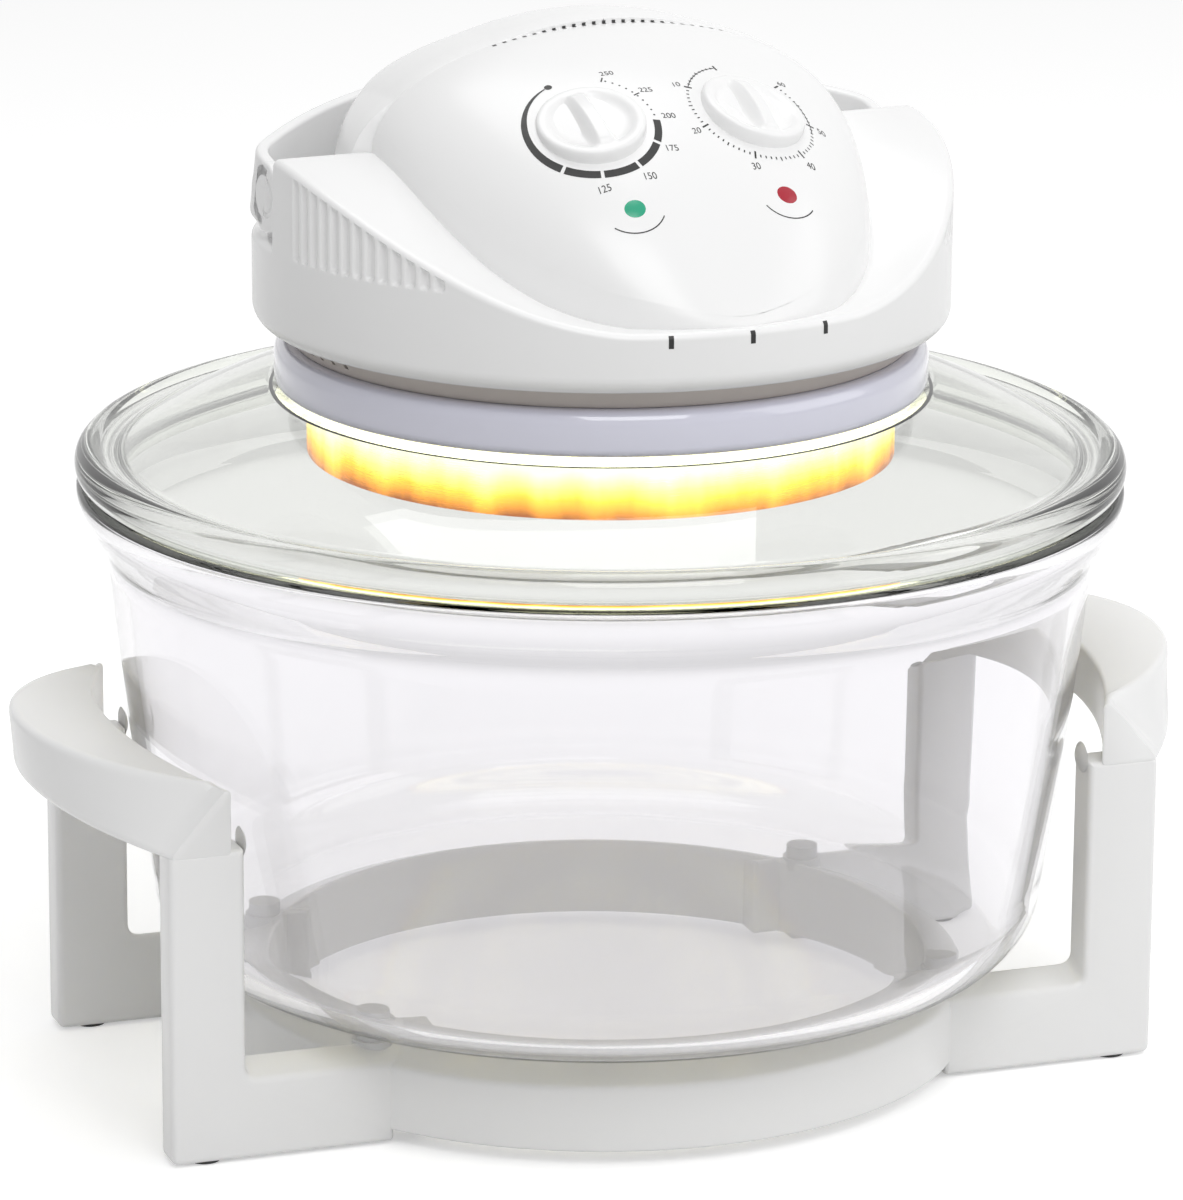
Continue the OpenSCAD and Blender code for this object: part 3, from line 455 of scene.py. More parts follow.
def math_node(tree: bpy.types.NodeTree, operation: str, *values: Union[float, Socket]) -> Socket:
    """One step of arithmetic on sockets and numbers.

    Args:
        tree: the node tree.
        operation: the Math node's operation.
        values: its operands.

    Returns:
        The result.
    """
    node = tree.nodes.new("ShaderNodeMath")
    node.operation = operation
    for socket, value in zip(node.inputs, values):
        if isinstance(value, bpy.types.NodeSocket):
            tree.links.new(value, socket)
        else:
            socket.default_value = value
    return node.outputs[0]


def bumped(tree: bpy.types.NodeTree, height: Socket, strength: Union[float, Socket],
           distance: float) -> Socket:
    """A normal bent by a height.

    Args:
        tree: the node tree.
        height: the height's socket.
        strength: from 0 to 1.
        distance: metres that a height of 1 stands for.

    Returns:
        The normal.
    """
    node = tree.nodes.new("ShaderNodeBump")
    sockets(node, {"Height": height, "Strength": strength, "Distance": distance})
    return node.outputs["Normal"]


def moulded_group() -> bpy.types.NodeTree:
    """The skin of moulded plastic: a faint flow waviness, fine grain and uneven gloss."""
    tree, source, sink = new_group(
        Group.MOULDED.value, {"Gloss Low": 0.18, "Gloss High": 0.3, "Waviness": 0.1},
        {"Roughness": "NodeSocketFloat", "Tone": "NodeSocketFloat", "Normal": "NodeSocketVector"})
    wide = object_noise(tree, 26.0, detail=3.0)
    fine = object_noise(tree, 900.0, detail=2.0)
    roughness = spread(tree, wide, source.outputs["Gloss Low"], source.outputs["Gloss High"])
    height = math_node(tree, "MULTIPLY_ADD", fine, 0.12, wide)
    normal = bumped(tree, height, source.outputs["Waviness"], 0.0006)
    tone = spread(tree, object_noise(tree, 9.0, detail=5.0), 0.965, 1.0)
    sockets(sink, {"Roughness": roughness, "Tone": tone, "Normal": normal})
    return tree


def brushed_group() -> bpy.types.NodeTree:
    """Rolled or brushed metal: fine streaks round the axis, and smudges in the gloss."""
    tree, source, sink = new_group(
        Group.BRUSHED.value, {"Gloss Low": 0.2, "Gloss High": 0.42, "Streaks": 0.3},
        {"Roughness": "NodeSocketFloat", "Tone": "NodeSocketFloat", "Normal": "NodeSocketVector"})
    streaks = object_noise(tree, 160.0, (1.0, 1.0, 14.0), 5.0)
    smudge = object_noise(tree, 14.0, detail=4.0)
    roughness = spread(tree, math_node(tree, "MULTIPLY_ADD", streaks, 0.4,
                                       math_node(tree, "MULTIPLY", smudge, 0.6)),
                       source.outputs["Gloss Low"], source.outputs["Gloss High"])
    normal = bumped(tree, streaks, source.outputs["Streaks"], 0.0002)
    tone = spread(tree, smudge, 0.86, 1.0)
    sockets(sink, {"Roughness": roughness, "Tone": tone, "Normal": normal})
    return tree


def dusted_group() -> bpy.types.NodeTree:
    """What handling leaves on glass and polish: faint smears that lift the roughness."""
    tree, source, sink = new_group(Group.DUSTED.value, {"Base": 0.0, "Smear": 0.04},
                                   {"Roughness": "NodeSocketFloat"})
    smear = spread(tree, object_noise(tree, 18.0, (1.0, 1.0, 0.4), 6.0), 0.0, 1.0, 0.5, 0.75)
    amount = math_node(tree, "MULTIPLY", smear, source.outputs["Smear"])
    sockets(sink, {"Roughness": math_node(tree, "ADD", amount, source.outputs["Base"])})
    return tree


GROUP_MAKERS: dict[Group, Callable[[], bpy.types.NodeTree]] = {
    Group.MOULDED: moulded_group, Group.BRUSHED: brushed_group, Group.DUSTED: dusted_group}


def placed_group(tree: bpy.types.NodeTree, kind: Group, values: dict[str, float]) -> bpy.types.Node:
    """Puts a shared group into a material, and makes the group at its first use.

    Args:
        tree: the material's tree.
        kind: which group.
        values: its inputs.

    Returns:
        The group node.
    """
    shared = bpy.data.node_groups.get(kind.value) or GROUP_MAKERS[kind]()
    node = tree.nodes.new("ShaderNodeGroup")
    node.node_tree = shared
    return sockets(node, values)


def blank(name: str) -> tuple[bpy.types.Material, bpy.types.NodeTree, bpy.types.Node]:
    """A new material with only a Principled BSDF and its output.

    Args:
        name: the material's name.

    Returns:
        The material, its tree and the shader node.
    """
    material = bpy.data.materials.new(name)
    material.use_nodes = True
    tree = material.node_tree
    shader = next(n for n in tree.nodes if n.type == "BSDF_PRINCIPLED")
    return material, tree, shader


def toned(tree: bpy.types.NodeTree, colour: Colour, tone: Socket) -> Socket:
    """A colour multiplied by a varying tone.

    Args:
        tree: the material's tree.
        colour: display colour.
        tone: factor, near 1.

    Returns:
        The colour socket.
    """
    node = tree.nodes.new("ShaderNodeMix")
    node.data_type = "RGBA"
    node.blend_type = "MULTIPLY"
    node.inputs["Factor"].default_value = 1.0
    node.inputs["A"].default_value = shade(*colour)
    tree.links.new(tone, node.inputs["B"])
    return node.outputs["Result"]


@dataclass(frozen=True)
class Plastic:
    """A moulded plastic: its colour, the two ends of its gloss, and how wavy its skin is."""

    name: str
    colour: Colour
    gloss: tuple[float, float] = (0.2, 0.34)
    waviness: float = 0.08
    coat: float = 0.0

    def material(self) -> bpy.types.Material:
        """Makes the material."""
        material, tree, shader = blank(self.name)
        skin = placed_group(tree, Group.MOULDED, {"Gloss Low": self.gloss[0],
                                                  "Gloss High": self.gloss[1],
                                                  "Waviness": self.waviness})
        sockets(shader, {"Base Color": toned(tree, self.colour, skin.outputs["Tone"]),
                         "Roughness": skin.outputs["Roughness"],
                         "Normal": skin.outputs["Normal"], "IOR": 1.5,
                         "Coat Weight": self.coat, "Coat Roughness": 0.05})
        return material


@dataclass(frozen=True)
class Metal:
    """A pressed, drawn or plated metal: its colour, gloss and streaks."""

    name: str
    colour: Colour
    gloss: tuple[float, float] = (0.2, 0.4)
    streaks: float = 0.3

    def material(self) -> bpy.types.Material:
        """Makes the material."""
        material, tree, shader = blank(self.name)
        skin = placed_group(tree, Group.BRUSHED, {"Gloss Low": self.gloss[0],
                                                  "Gloss High": self.gloss[1],
                                                  "Streaks": self.streaks})
        sockets(shader, {"Base Color": toned(tree, self.colour, skin.outputs["Tone"]),
                         "Roughness": skin.outputs["Roughness"],
                         "Normal": skin.outputs["Normal"], "Metallic": 1.0})
        return material


@dataclass(frozen=True)
class Glass:
    """Clear pressed glass with a faint tint and the smears of handling."""

    name: str
    tint: Colour
    ior: float = 1.47

    def material(self) -> bpy.types.Material:
        """Makes the material."""
        material, tree, shader = blank(self.name)
        skin = placed_group(tree, Group.DUSTED, {"Base": 0.0, "Smear": 0.03})
        sockets(shader, {"Base Color": shade(*self.tint), "Roughness": skin.outputs["Roughness"],
                         "Transmission Weight": 1.0, "IOR": self.ior})
        return material


@dataclass(frozen=True)
class Ink:
    """Printed ink: a dark, dull film that is a little uneven."""

    name: str
    colour: Colour

    def material(self) -> bpy.types.Material:
        """Makes the material."""
        material, tree, shader = blank(self.name)
        film = object_noise(tree, 700.0, detail=2.0)
        sockets(shader, {"Base Color": toned(tree, self.colour, spread(tree, film, 0.75, 1.0)),
                         "Roughness": spread(tree, film, 0.35, 0.5)})
        return material


@dataclass(frozen=True)
class LampLens:
    """A tinted lamp lens, moulded with a pebbled inside that a small lamp lights."""

    name: str
    colour: Colour
    glow: float = 0.12

    def material(self) -> bpy.types.Material:
        """Makes the material."""
        material, tree, shader = blank(self.name)
        place = tree.nodes.new("ShaderNodeTexCoord")
        cells = tree.nodes.new("ShaderNodeTexVoronoi")
        sockets(cells, {"Vector": place.outputs["Object"], "Scale": 620.0})
        tone = spread(tree, cells.outputs["Distance"], 1.35, 0.55, 0.0, 0.75)
        colour = toned(tree, self.colour, tone)
        sockets(shader, {"Base Color": colour, "Roughness": spread(tree, tone, 0.06, 0.2),
                         "Normal": bumped(tree, cells.outputs["Distance"], 0.25, 0.0005),
                         "Coat Weight": 1.0, "Coat Roughness": 0.03,
                         "Emission Color": colour, "Emission Strength": self.glow})
        return material


@dataclass(frozen=True)
class PaintedLampGlow:
    """A piece painted with lamp light, though it is no lamp: it emits amber at its lower edge, then
    yellow, and white above.

    The colour runs with the height, broken by noise as a painted reflection, as a pressed reflector
    breaks the lamp's image. The same ramp set lower paints the seals under the lid plain white with
    emitted light.
    """

    name: str
    bottom: float
    top: float
    stops: tuple[tuple[float, Colour], ...] = (
        (0.0, (0.62, 0.34, 0.12)), (0.14, (0.93, 0.60, 0.18)), (0.34, (1.0, 0.86, 0.30)),
        (0.55, (1.0, 0.97, 0.62)), (0.8, (1.0, 1.0, 0.9)))

    def material(self) -> bpy.types.Material:
        """Makes the material."""
        material, tree, shader = blank(self.name)
        place = tree.nodes.new("ShaderNodeTexCoord")
        parts = tree.nodes.new("ShaderNodeSeparateXYZ")
        tree.links.new(place.outputs["Object"], parts.inputs["Vector"])
        height = spread(tree, parts.outputs["Z"], 0.0, 1.0, self.bottom * MM, self.top * MM)
        mottle = object_noise(tree, 70.0, (1.0, 1.0, 0.35), 3.0)
        level = math_node(tree, "MULTIPLY_ADD", math_node(tree, "SUBTRACT", mottle, 0.5), 0.55,
                          height)
        ramp_node = tree.nodes.new("ShaderNodeValToRGB")
        elements = ramp_node.color_ramp.elements
        for element, (position, colour) in zip(elements, (self.stops[0], self.stops[-1])):
            element.position, element.color = position, shade(*colour)
        for position, colour in self.stops[1:-1]:
            elements.new(position).color = shade(*colour)
        tree.links.new(level, ramp_node.inputs["Fac"])
        skin = placed_group(tree, Group.BRUSHED, {"Gloss Low": 0.15, "Gloss High": 0.35,
                                                  "Streaks": 0.2})
        # Painted light: the ramp's colour is emitted, standing in for the lamp's light on this
        # piece.
        sockets(shader, {"Base Color": ramp_node.outputs["Color"],
                         "Roughness": skin.outputs["Roughness"], "Metallic": 0.6,
                         "Emission Color": ramp_node.outputs["Color"], "Emission Strength": 1.1})
        return material


@dataclass(frozen=True)
class Coarse:
    """A dull, grained stuff such as pressed fibre, fired clay or rubber."""

    name: str
    colour: Colour
    grain: float = 400.0
    depth: float = 0.35

    def material(self) -> bpy.types.Material:
        """Makes the material."""
        material, tree, shader = blank(self.name)
        grain = object_noise(tree, self.grain, detail=6.0)
        sockets(shader, {"Base Color": toned(tree, self.colour, spread(tree, grain, 0.7, 1.0)),
                         "Roughness": spread(tree, grain, 0.65, 0.9),
                         "Normal": bumped(tree, grain, self.depth, 0.0006)})
        return material


class Finish(Enum):
    """The finishes of the oven's pieces."""

    WHITE = Plastic("white_gloss", (0.93, 0.93, 0.935), (0.16, 0.3), 0.05, 0.25)
    SATIN = Plastic("white_satin", (0.90, 0.90, 0.90), (0.35, 0.5), 0.1)
    COLLAR = Plastic("collar_gloss", (0.88, 0.88, 0.94), (0.06, 0.14), 0.04, 0.8)
    TUB = Plastic("tub_plastic", (0.80, 0.77, 0.74), (0.3, 0.45), 0.1)
    BLACK = Plastic("black_plastic", (0.12, 0.12, 0.12), (0.3, 0.5), 0.15)
    ORANGE = Plastic("orange_plastic", (0.85, 0.33, 0.14), (0.3, 0.45), 0.1)
    CASE = Plastic("control_case", (0.74, 0.70, 0.58), (0.4, 0.55), 0.15)
    NYLON = Plastic("natural_nylon", (0.93, 0.91, 0.84), (0.35, 0.5), 0.12)
    GLAND = Plastic("gland_grey", (0.84, 0.84, 0.84), (0.45, 0.6), 0.15)
    RUBBER = Coarse("foot_rubber", (0.16, 0.16, 0.16), 900.0, 0.2)
    FIBRE = Coarse("mineral_fibre", (0.86, 0.83, 0.74), 260.0, 0.8)
    STEATITE = Coarse("steatite", (0.93, 0.91, 0.86), 700.0, 0.15)
    BRIGHT = Metal("bright_metal", (0.88, 0.88, 0.89), (0.1, 0.24), 0.15)
    STEEL = Metal("pressed_steel", (0.76, 0.77, 0.78), (0.28, 0.45), 0.3)
    SCREW = Metal("screw_steel", (0.62, 0.63, 0.65), (0.25, 0.4), 0.2)
    CHROME = Metal("guard_chrome", (0.90, 0.90, 0.91), (0.05, 0.14), 0.08)
    LAMINATION = Metal("lamination", (0.45, 0.46, 0.48), (0.4, 0.6), 0.8)
    COPPER = Metal("copper", (0.80, 0.47, 0.27), (0.25, 0.4), 0.9)
    TUNGSTEN = Metal("tungsten", (0.98, 0.72, 0.35), (0.3, 0.5), 0.5)
    BOWL_GLASS = Glass("bowl_glass", (0.958, 0.955, 0.962))
    LID_GLASS = Glass("lid_glass", (0.918, 0.925, 0.905))
    QUARTZ = Glass("quartz", (1.0, 0.97, 0.86))
    INK = Ink("black_ink", (0.10, 0.10, 0.10))
    GREEN = LampLens("green_lens", (0.03, 0.50, 0.36))
    RED = LampLens("red_lens", (0.60, 0.06, 0.08))
    # Painted light: the shroud emits amber to white, as if the halogen lamp lit it.
    HOT = PaintedLampGlow("shroud_painted_light", 199.0, 217.0)
    # Painted light: the seals under the lid emit plain white, as if the lamp lit them, in place of
    # their grey silicone.
    LIT = PaintedLampGlow("seal_painted_light", 170.0, 196.0)

    def material(self) -> bpy.types.Material:
        """The finish's material, made at its first use."""
        return bpy.data.materials.get(self.value.name) or self.value.material()


def dressed(obj: bpy.types.Object, finish: Finish) -> bpy.types.Object:
    """Gives an object one finish all over.

    Args:
        obj: the object.
        finish: the finish.

    Returns:
        The object.
    """
    obj.data.materials.clear()
    obj.data.materials.append(finish.material())
    for slot_place in obj.material_slots:
        slot_place.material = finish.material()
    return obj


def fitted(surface: Surface, name: str, finish: Finish, body: Body,
           stands_for: Sequence[str] = (), crease: float = 40.0,
           recalculate: bool = False) -> bpy.types.Object:
    """Builds a piece, dresses it, and puts it on its body.

    Args:
        surface: the piece's surface.
        name: the piece's name.
        finish: its finish.
        body: the body that carries it.
        stands_for: CAD nodes that it is shown for.
        crease: edges sharper than this many degrees stay sharp.
        recalculate: works the normals out again.

    Returns:
        The object.
    """
    obj = dressed(surface.build(name, crease, recalculate=recalculate), finish)
    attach(obj, body.value)
    if stands_for:
        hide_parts(*stands_for)
    LOG.info("%s: %d faces", name, len(obj.data.polygons))
    return obj


# ---------------------------------------------------------------- the stand


@dataclass
class Stand:
    """Four legs joined by a ring under the bowl and by a bowed grip at each side."""

    leg_out: float = 165.0
    leg_in: float = 141.0
    front: float = 73.3
    back: float = 60.5
    notch: float = 93.0
    foot: float = 0.8
    lift: float = 4.5
    rail_low: float = 26.0
    rail_high: float = 30.5
    ring_out: float = 119.5
    ring_in: float = 106.7
    grip_in: float = 162.5
    grip_out: float = 193.5
    grip_low_x: float = 72.0
    grip_top_x: float = 119.0
    grip_top_r: float = 74.5
    leg_top: float = 101.5
    edge: float = 1.9

    def end_frame(self, side: int, rear: bool) -> Surface:
        """One leg with its rail, as a plate with rounded edges.

        The rail's top rises from the outer face to the inner face.

        Args:
            side: 1 at +X, -1 at -X.
            rear: whether it stands behind the bowl.

        Returns:
            The surface.
        """
        top = self.rail_low + 0.5
        outline = [
            (self.notch - 14, self.lift, 0.5), (self.notch, self.lift, 0.4),
            (self.notch, self.foot, 1.6), (self.leg_out, self.foot, 2.6),
            (self.leg_out, self.leg_top, 2.6), (self.leg_in, self.leg_top, 1.0),
            (self.leg_in, top, 4.0), (self.notch - 14, top, 0.5)]
        flat = plate(outline, self.back, self.front, self.edge)

        def stood(p: Array) -> Array:
            """Stands the plate up at its corner and slopes the rail's top."""
            depth = (self.front - p[:, 2]) / (self.front - self.back)
            slope = (self.rail_high - self.rail_low) * depth
            z = p[:, 1] + slope * ramp(p[:, 1], 12.0, top) * (1 - ramp(p[:, 1], top + 2, 44.0))
            return np.stack([side * p[:, 0], (1 if rear else -1) * p[:, 2], z], -1)
        surface = placed(flat, stood)
        return self.turned_out(surface, (side > 0) != rear)

    @staticmethod
    def turned_out(surface: Surface, keep: bool) -> Surface:
        """Turns faces over where a mirrored copy has them inside out.

        Args:
            surface: the surface.
            keep: whether the faces are right already.

        Returns:
            The surface.
        """
        if not keep:
            surface.faces = [f[:, ::-1] for f in surface.faces]
            surface.patches = [(loop[::-1], k) for loop, k in surface.patches]
        return surface

    def ring(self) -> Surface:
        """The ring under the bowl: a four-sided section with rounded corners, spun."""
        return spun_surface(rounded([
            (self.ring_in, self.lift, 1.2), (self.ring_out, self.lift, 1.6),
            (self.ring_out, self.rail_low, 1.8), (self.ring_in, self.rail_high, 1.5)],
            closed=True), 256)

    def grip(self, side: int) -> Surface:
        """One bowed grip, as a section that changes from one leg to the other.

        At each place along Y the section has four corners: the inner face lies on a circle
        round the bowl, the top's outer edge on a tight arc, and the lower outer edge on a wider
        arc that meets the legs. The top and the underside rise towards the middle.

        Args:
            side: 1 at +X, -1 at -X.

        Returns:
            The surface.
        """
        y = np.linspace(-self.front + 0.4, self.front - 0.4, 97)
        bow = 1 - (y / self.front) ** 2
        x_in = np.maximum(np.sqrt(self.grip_in ** 2 - y ** 2), self.leg_in + 0.5)
        x_low = self.grip_low_x + np.sqrt(
            (self.grip_out - 3.0 - self.grip_low_x) ** 2 - y ** 2)
        crown = np.sqrt(np.maximum(self.grip_top_r ** 2 - y ** 2, 1.0))
        x_top = np.maximum(self.grip_top_x + crown, x_in + 2.2)
        low = 100.0 + 5.0 * bow
        inner_top = 120.5 + 3.5 * bow
        outer_top = np.where(x_top > x_in + 2.3, 122.5 + 5.0 * bow, inner_top + 0.5)
        corners = np.stack([np.stack([x_in, low], -1), np.stack([x_low, low], -1),
                            np.stack([x_top, outer_top], -1), np.stack([x_in, inner_top], -1)], 1)
        section = self.softened(corners, (1.8, 3.4, 3.2, 1.6))
        grid = np.stack([section[..., 0], np.broadcast_to(y[:, None], section.shape[:2]),
                         section[..., 1]], -1)
        middle = grid.mean(1, keepdims=True)
        caps = [(0.0, 0.0), (0.25, 0.015), (0.4, 0.05)]
        low_cap = [self.shrunk(grid[0], middle[0], s, -y0) for y0, s in caps[:0:-1]]
        high_cap = [self.shrunk(grid[-1], middle[-1], s, y0) for y0, s in caps[1:]]
        grid = np.concatenate([np.stack(low_cap), grid, np.stack(high_cap)])
        grid = grid * np.array([side, 1.0, 1.0])
        surface = Surface().grid(grid, wrap_v=True)
        surface.patch(grid[0]).patch(grid[-1], flip=True)
        return self.turned_out(surface, side < 0)

    @staticmethod
    def shrunk(ring: Array, middle: Array, share: float, step: float) -> Array:
        """A ring drawn towards its middle and moved along Y, for a softly closed end."""
        return ring + (middle - ring) * share + np.array([0.0, step, 0.0])

    @staticmethod
    def softened(corners: Array, reach: Sequence[float], steps: int = 6) -> Array:
        """Rounds the corners of many closed sections at once by quadratic curves.

        Args:
            corners: n sections by k corners by 2.
            reach: the rounding's reach at each corner.
            steps: pieces in one rounding.

        Returns:
            n sections by k * (steps + 1) points by 2.
        """
        t = np.linspace(0, 1, steps + 1)[None, :, None]
        parts = []
        for k, r in enumerate(reach):
            here = corners[:, k]
            before = corners[:, k - 1] - here
            after = corners[:, (k + 1) % corners.shape[1]] - here
            near = [here + v * np.minimum(0.45, r / (np.linalg.norm(v, axis=1) + 1e-9))[:, None]
                    for v in (before, after)]
            parts.append((1 - t) ** 2 * near[0][:, None] + 2 * t * (1 - t) * here[:, None]
                         + t * t * near[1][:, None])
        return np.concatenate(parts, 1)

    def build(self) -> None:
        """Makes the stand and hides the CAD frame that it stands for."""
        frames = [self.end_frame(side, rear) for side in (-1, 1) for rear in (False, True)]
        whole = joined(self.ring(), *frames, self.grip(-1), self.grip(1))
        fitted(whole, "stand_shell", Finish.WHITE, Body.STAND, ["stand_frame"],
               crease=38.0)


# ---------------------------------------------------------------- the bowl and the lid


@dataclass
class Bowl:
    """The deep glass bowl with its flared and beaded mouth."""

    rim_z: float = 191.0
    base_z: float = 35.5
    base_r: float = 119.0
    turn: float = 25.0
    heel_r: float = 144.0
    top_r: float = 157.5
    rim_r: float = 167.0
    wall: float = 5.0

    def radius(self, z: Array) -> Array:
        """Outer radius of the wall, a cone that swells a little, at heights z."""
        t = (z - self.base_z - self.turn) / (self.rim_z - 23.0 - self.base_z - self.turn)
        return self.heel_r + (self.top_r - self.heel_r) * (1.25 * t - 0.25 * t * t)

    def profile(self) -> Array:
        """Radius and height round the bowl's section, up outside and down inside."""
        z = np.linspace(self.base_z + self.turn, self.rim_z - 23.0, 24)
        a = np.radians(np.linspace(-90, 0, 15))
        heel = np.stack([self.base_r + self.turn * np.cos(a),
                         self.base_z + self.turn * (1 + np.sin(a))], -1)
        inner_turn = self.turn - self.wall
        inner_heel = np.stack([self.base_r + inner_turn * np.cos(a),
                               self.base_z + self.turn + inner_turn * np.sin(a)], -1)[::-1]
        rim = rounded([
            (self.top_r, self.rim_z - 23, 0), (self.top_r + 1.6, self.rim_z - 18.5, 2.5),
            (self.rim_r - 1.6, self.rim_z - 8, 3.5), (self.rim_r, self.rim_z - 4, 2.0),
            (self.rim_r, self.rim_z - 0.2, 1.6), (self.rim_r - 5, self.rim_z, 2.0),
            (self.rim_r - 10.5, self.rim_z, 2.5), (self.top_r - self.wall, self.rim_z - 16, 6.0),
            (self.top_r - self.wall, self.rim_z - 23, 0)])
        outer = np.stack([self.radius(z), z], -1)
        inner = np.stack([self.radius(z[::-1]) - self.wall, z[::-1]], -1)
        below = [[0.0, self.base_z], [60.0, self.base_z]]
        above = [[60.0, self.base_z + self.wall], [0.0, self.base_z + self.wall]]
        return np.concatenate([below, heel, outer[1:-1], rim, inner[1:-1], inner_heel, above])

    def build(self) -> None:
        """Makes the bowl."""
        surface = spun_surface(self.profile(), 256, closed=False)
        fitted(surface, "bowl_glass", Finish.BOWL_GLASS, Body.BOWL,
               ["glass_bowl"], crease=50.0)


@dataclass
class Lid:
    """The shallow glass lid with its bead and the ring that sits inside the bowl's mouth."""

    bowl: Bowl = field(default_factory=Bowl)
    seat: float = 191.3
    bead: float = 5.9
    thick: float = 4.5
    top_z: float = 222.0
    flat_r: float = 105.0
    hole_r: float = 84.0

    def upper(self, r: Array) -> Array:
        """Height of the upper face at radius r: a shallow arc from the bead to the flat."""
        r0 = self.bowl.rim_r - 2 * self.bead + 1
        t = (r0 - r) / (r0 - self.flat_r)
        z0 = self.seat + self.bead + 2
        return z0 + (self.top_z - z0) * (1.45 * t - 0.45 * t * t)

    def profile(self) -> Array:
        """Radius and height round the lid's section."""
        bead_r = self.bowl.rim_r + 0.5 - self.bead
        bead_z = self.seat + self.bead
        a = np.radians(np.linspace(-90, 128, 22))
        bead = np.stack([bead_r + self.bead * np.cos(a), bead_z + self.bead * np.sin(a)], -1)
        r = np.linspace(self.bowl.rim_r - 2 * self.bead - 1.5, self.flat_r, 26)
        upper = np.stack([r, self.upper(r)], -1)
        back = r[::-1]
        lower = np.stack([back - 1.0, self.upper(back) - self.thick], -1)
        step_r = self.bowl.rim_r - 15.1
        ring = rounded([(step_r - 1.0, self.upper(r[:1])[0] - self.thick, 0),
                        (step_r - 0.5, self.seat - 3.6, 1.0), (step_r + 1.5, self.seat - 4.0, 0.8),
                        (step_r + 2.2, self.seat, 1.2), (bead_r, self.seat, 0)])
        hole = rounded([(self.flat_r, self.top_z, 0), (self.hole_r, self.top_z, 1.0),
                        (self.hole_r, self.top_z - self.thick, 1.0),
                        (self.flat_r, self.top_z - self.thick, 0)])
        return np.concatenate([bead, upper[:-1], hole, lower[:-1], ring[:-1]])

    def build(self) -> None:
        """Makes the lid."""
        surface = spun_surface(self.profile(), 256)
        fitted(surface, "lid_glass", Finish.LID_GLASS, Body.HEAD,
               ["glass_lid"], crease=50.0)


# ---------------------------------------------------------------- the head's shell


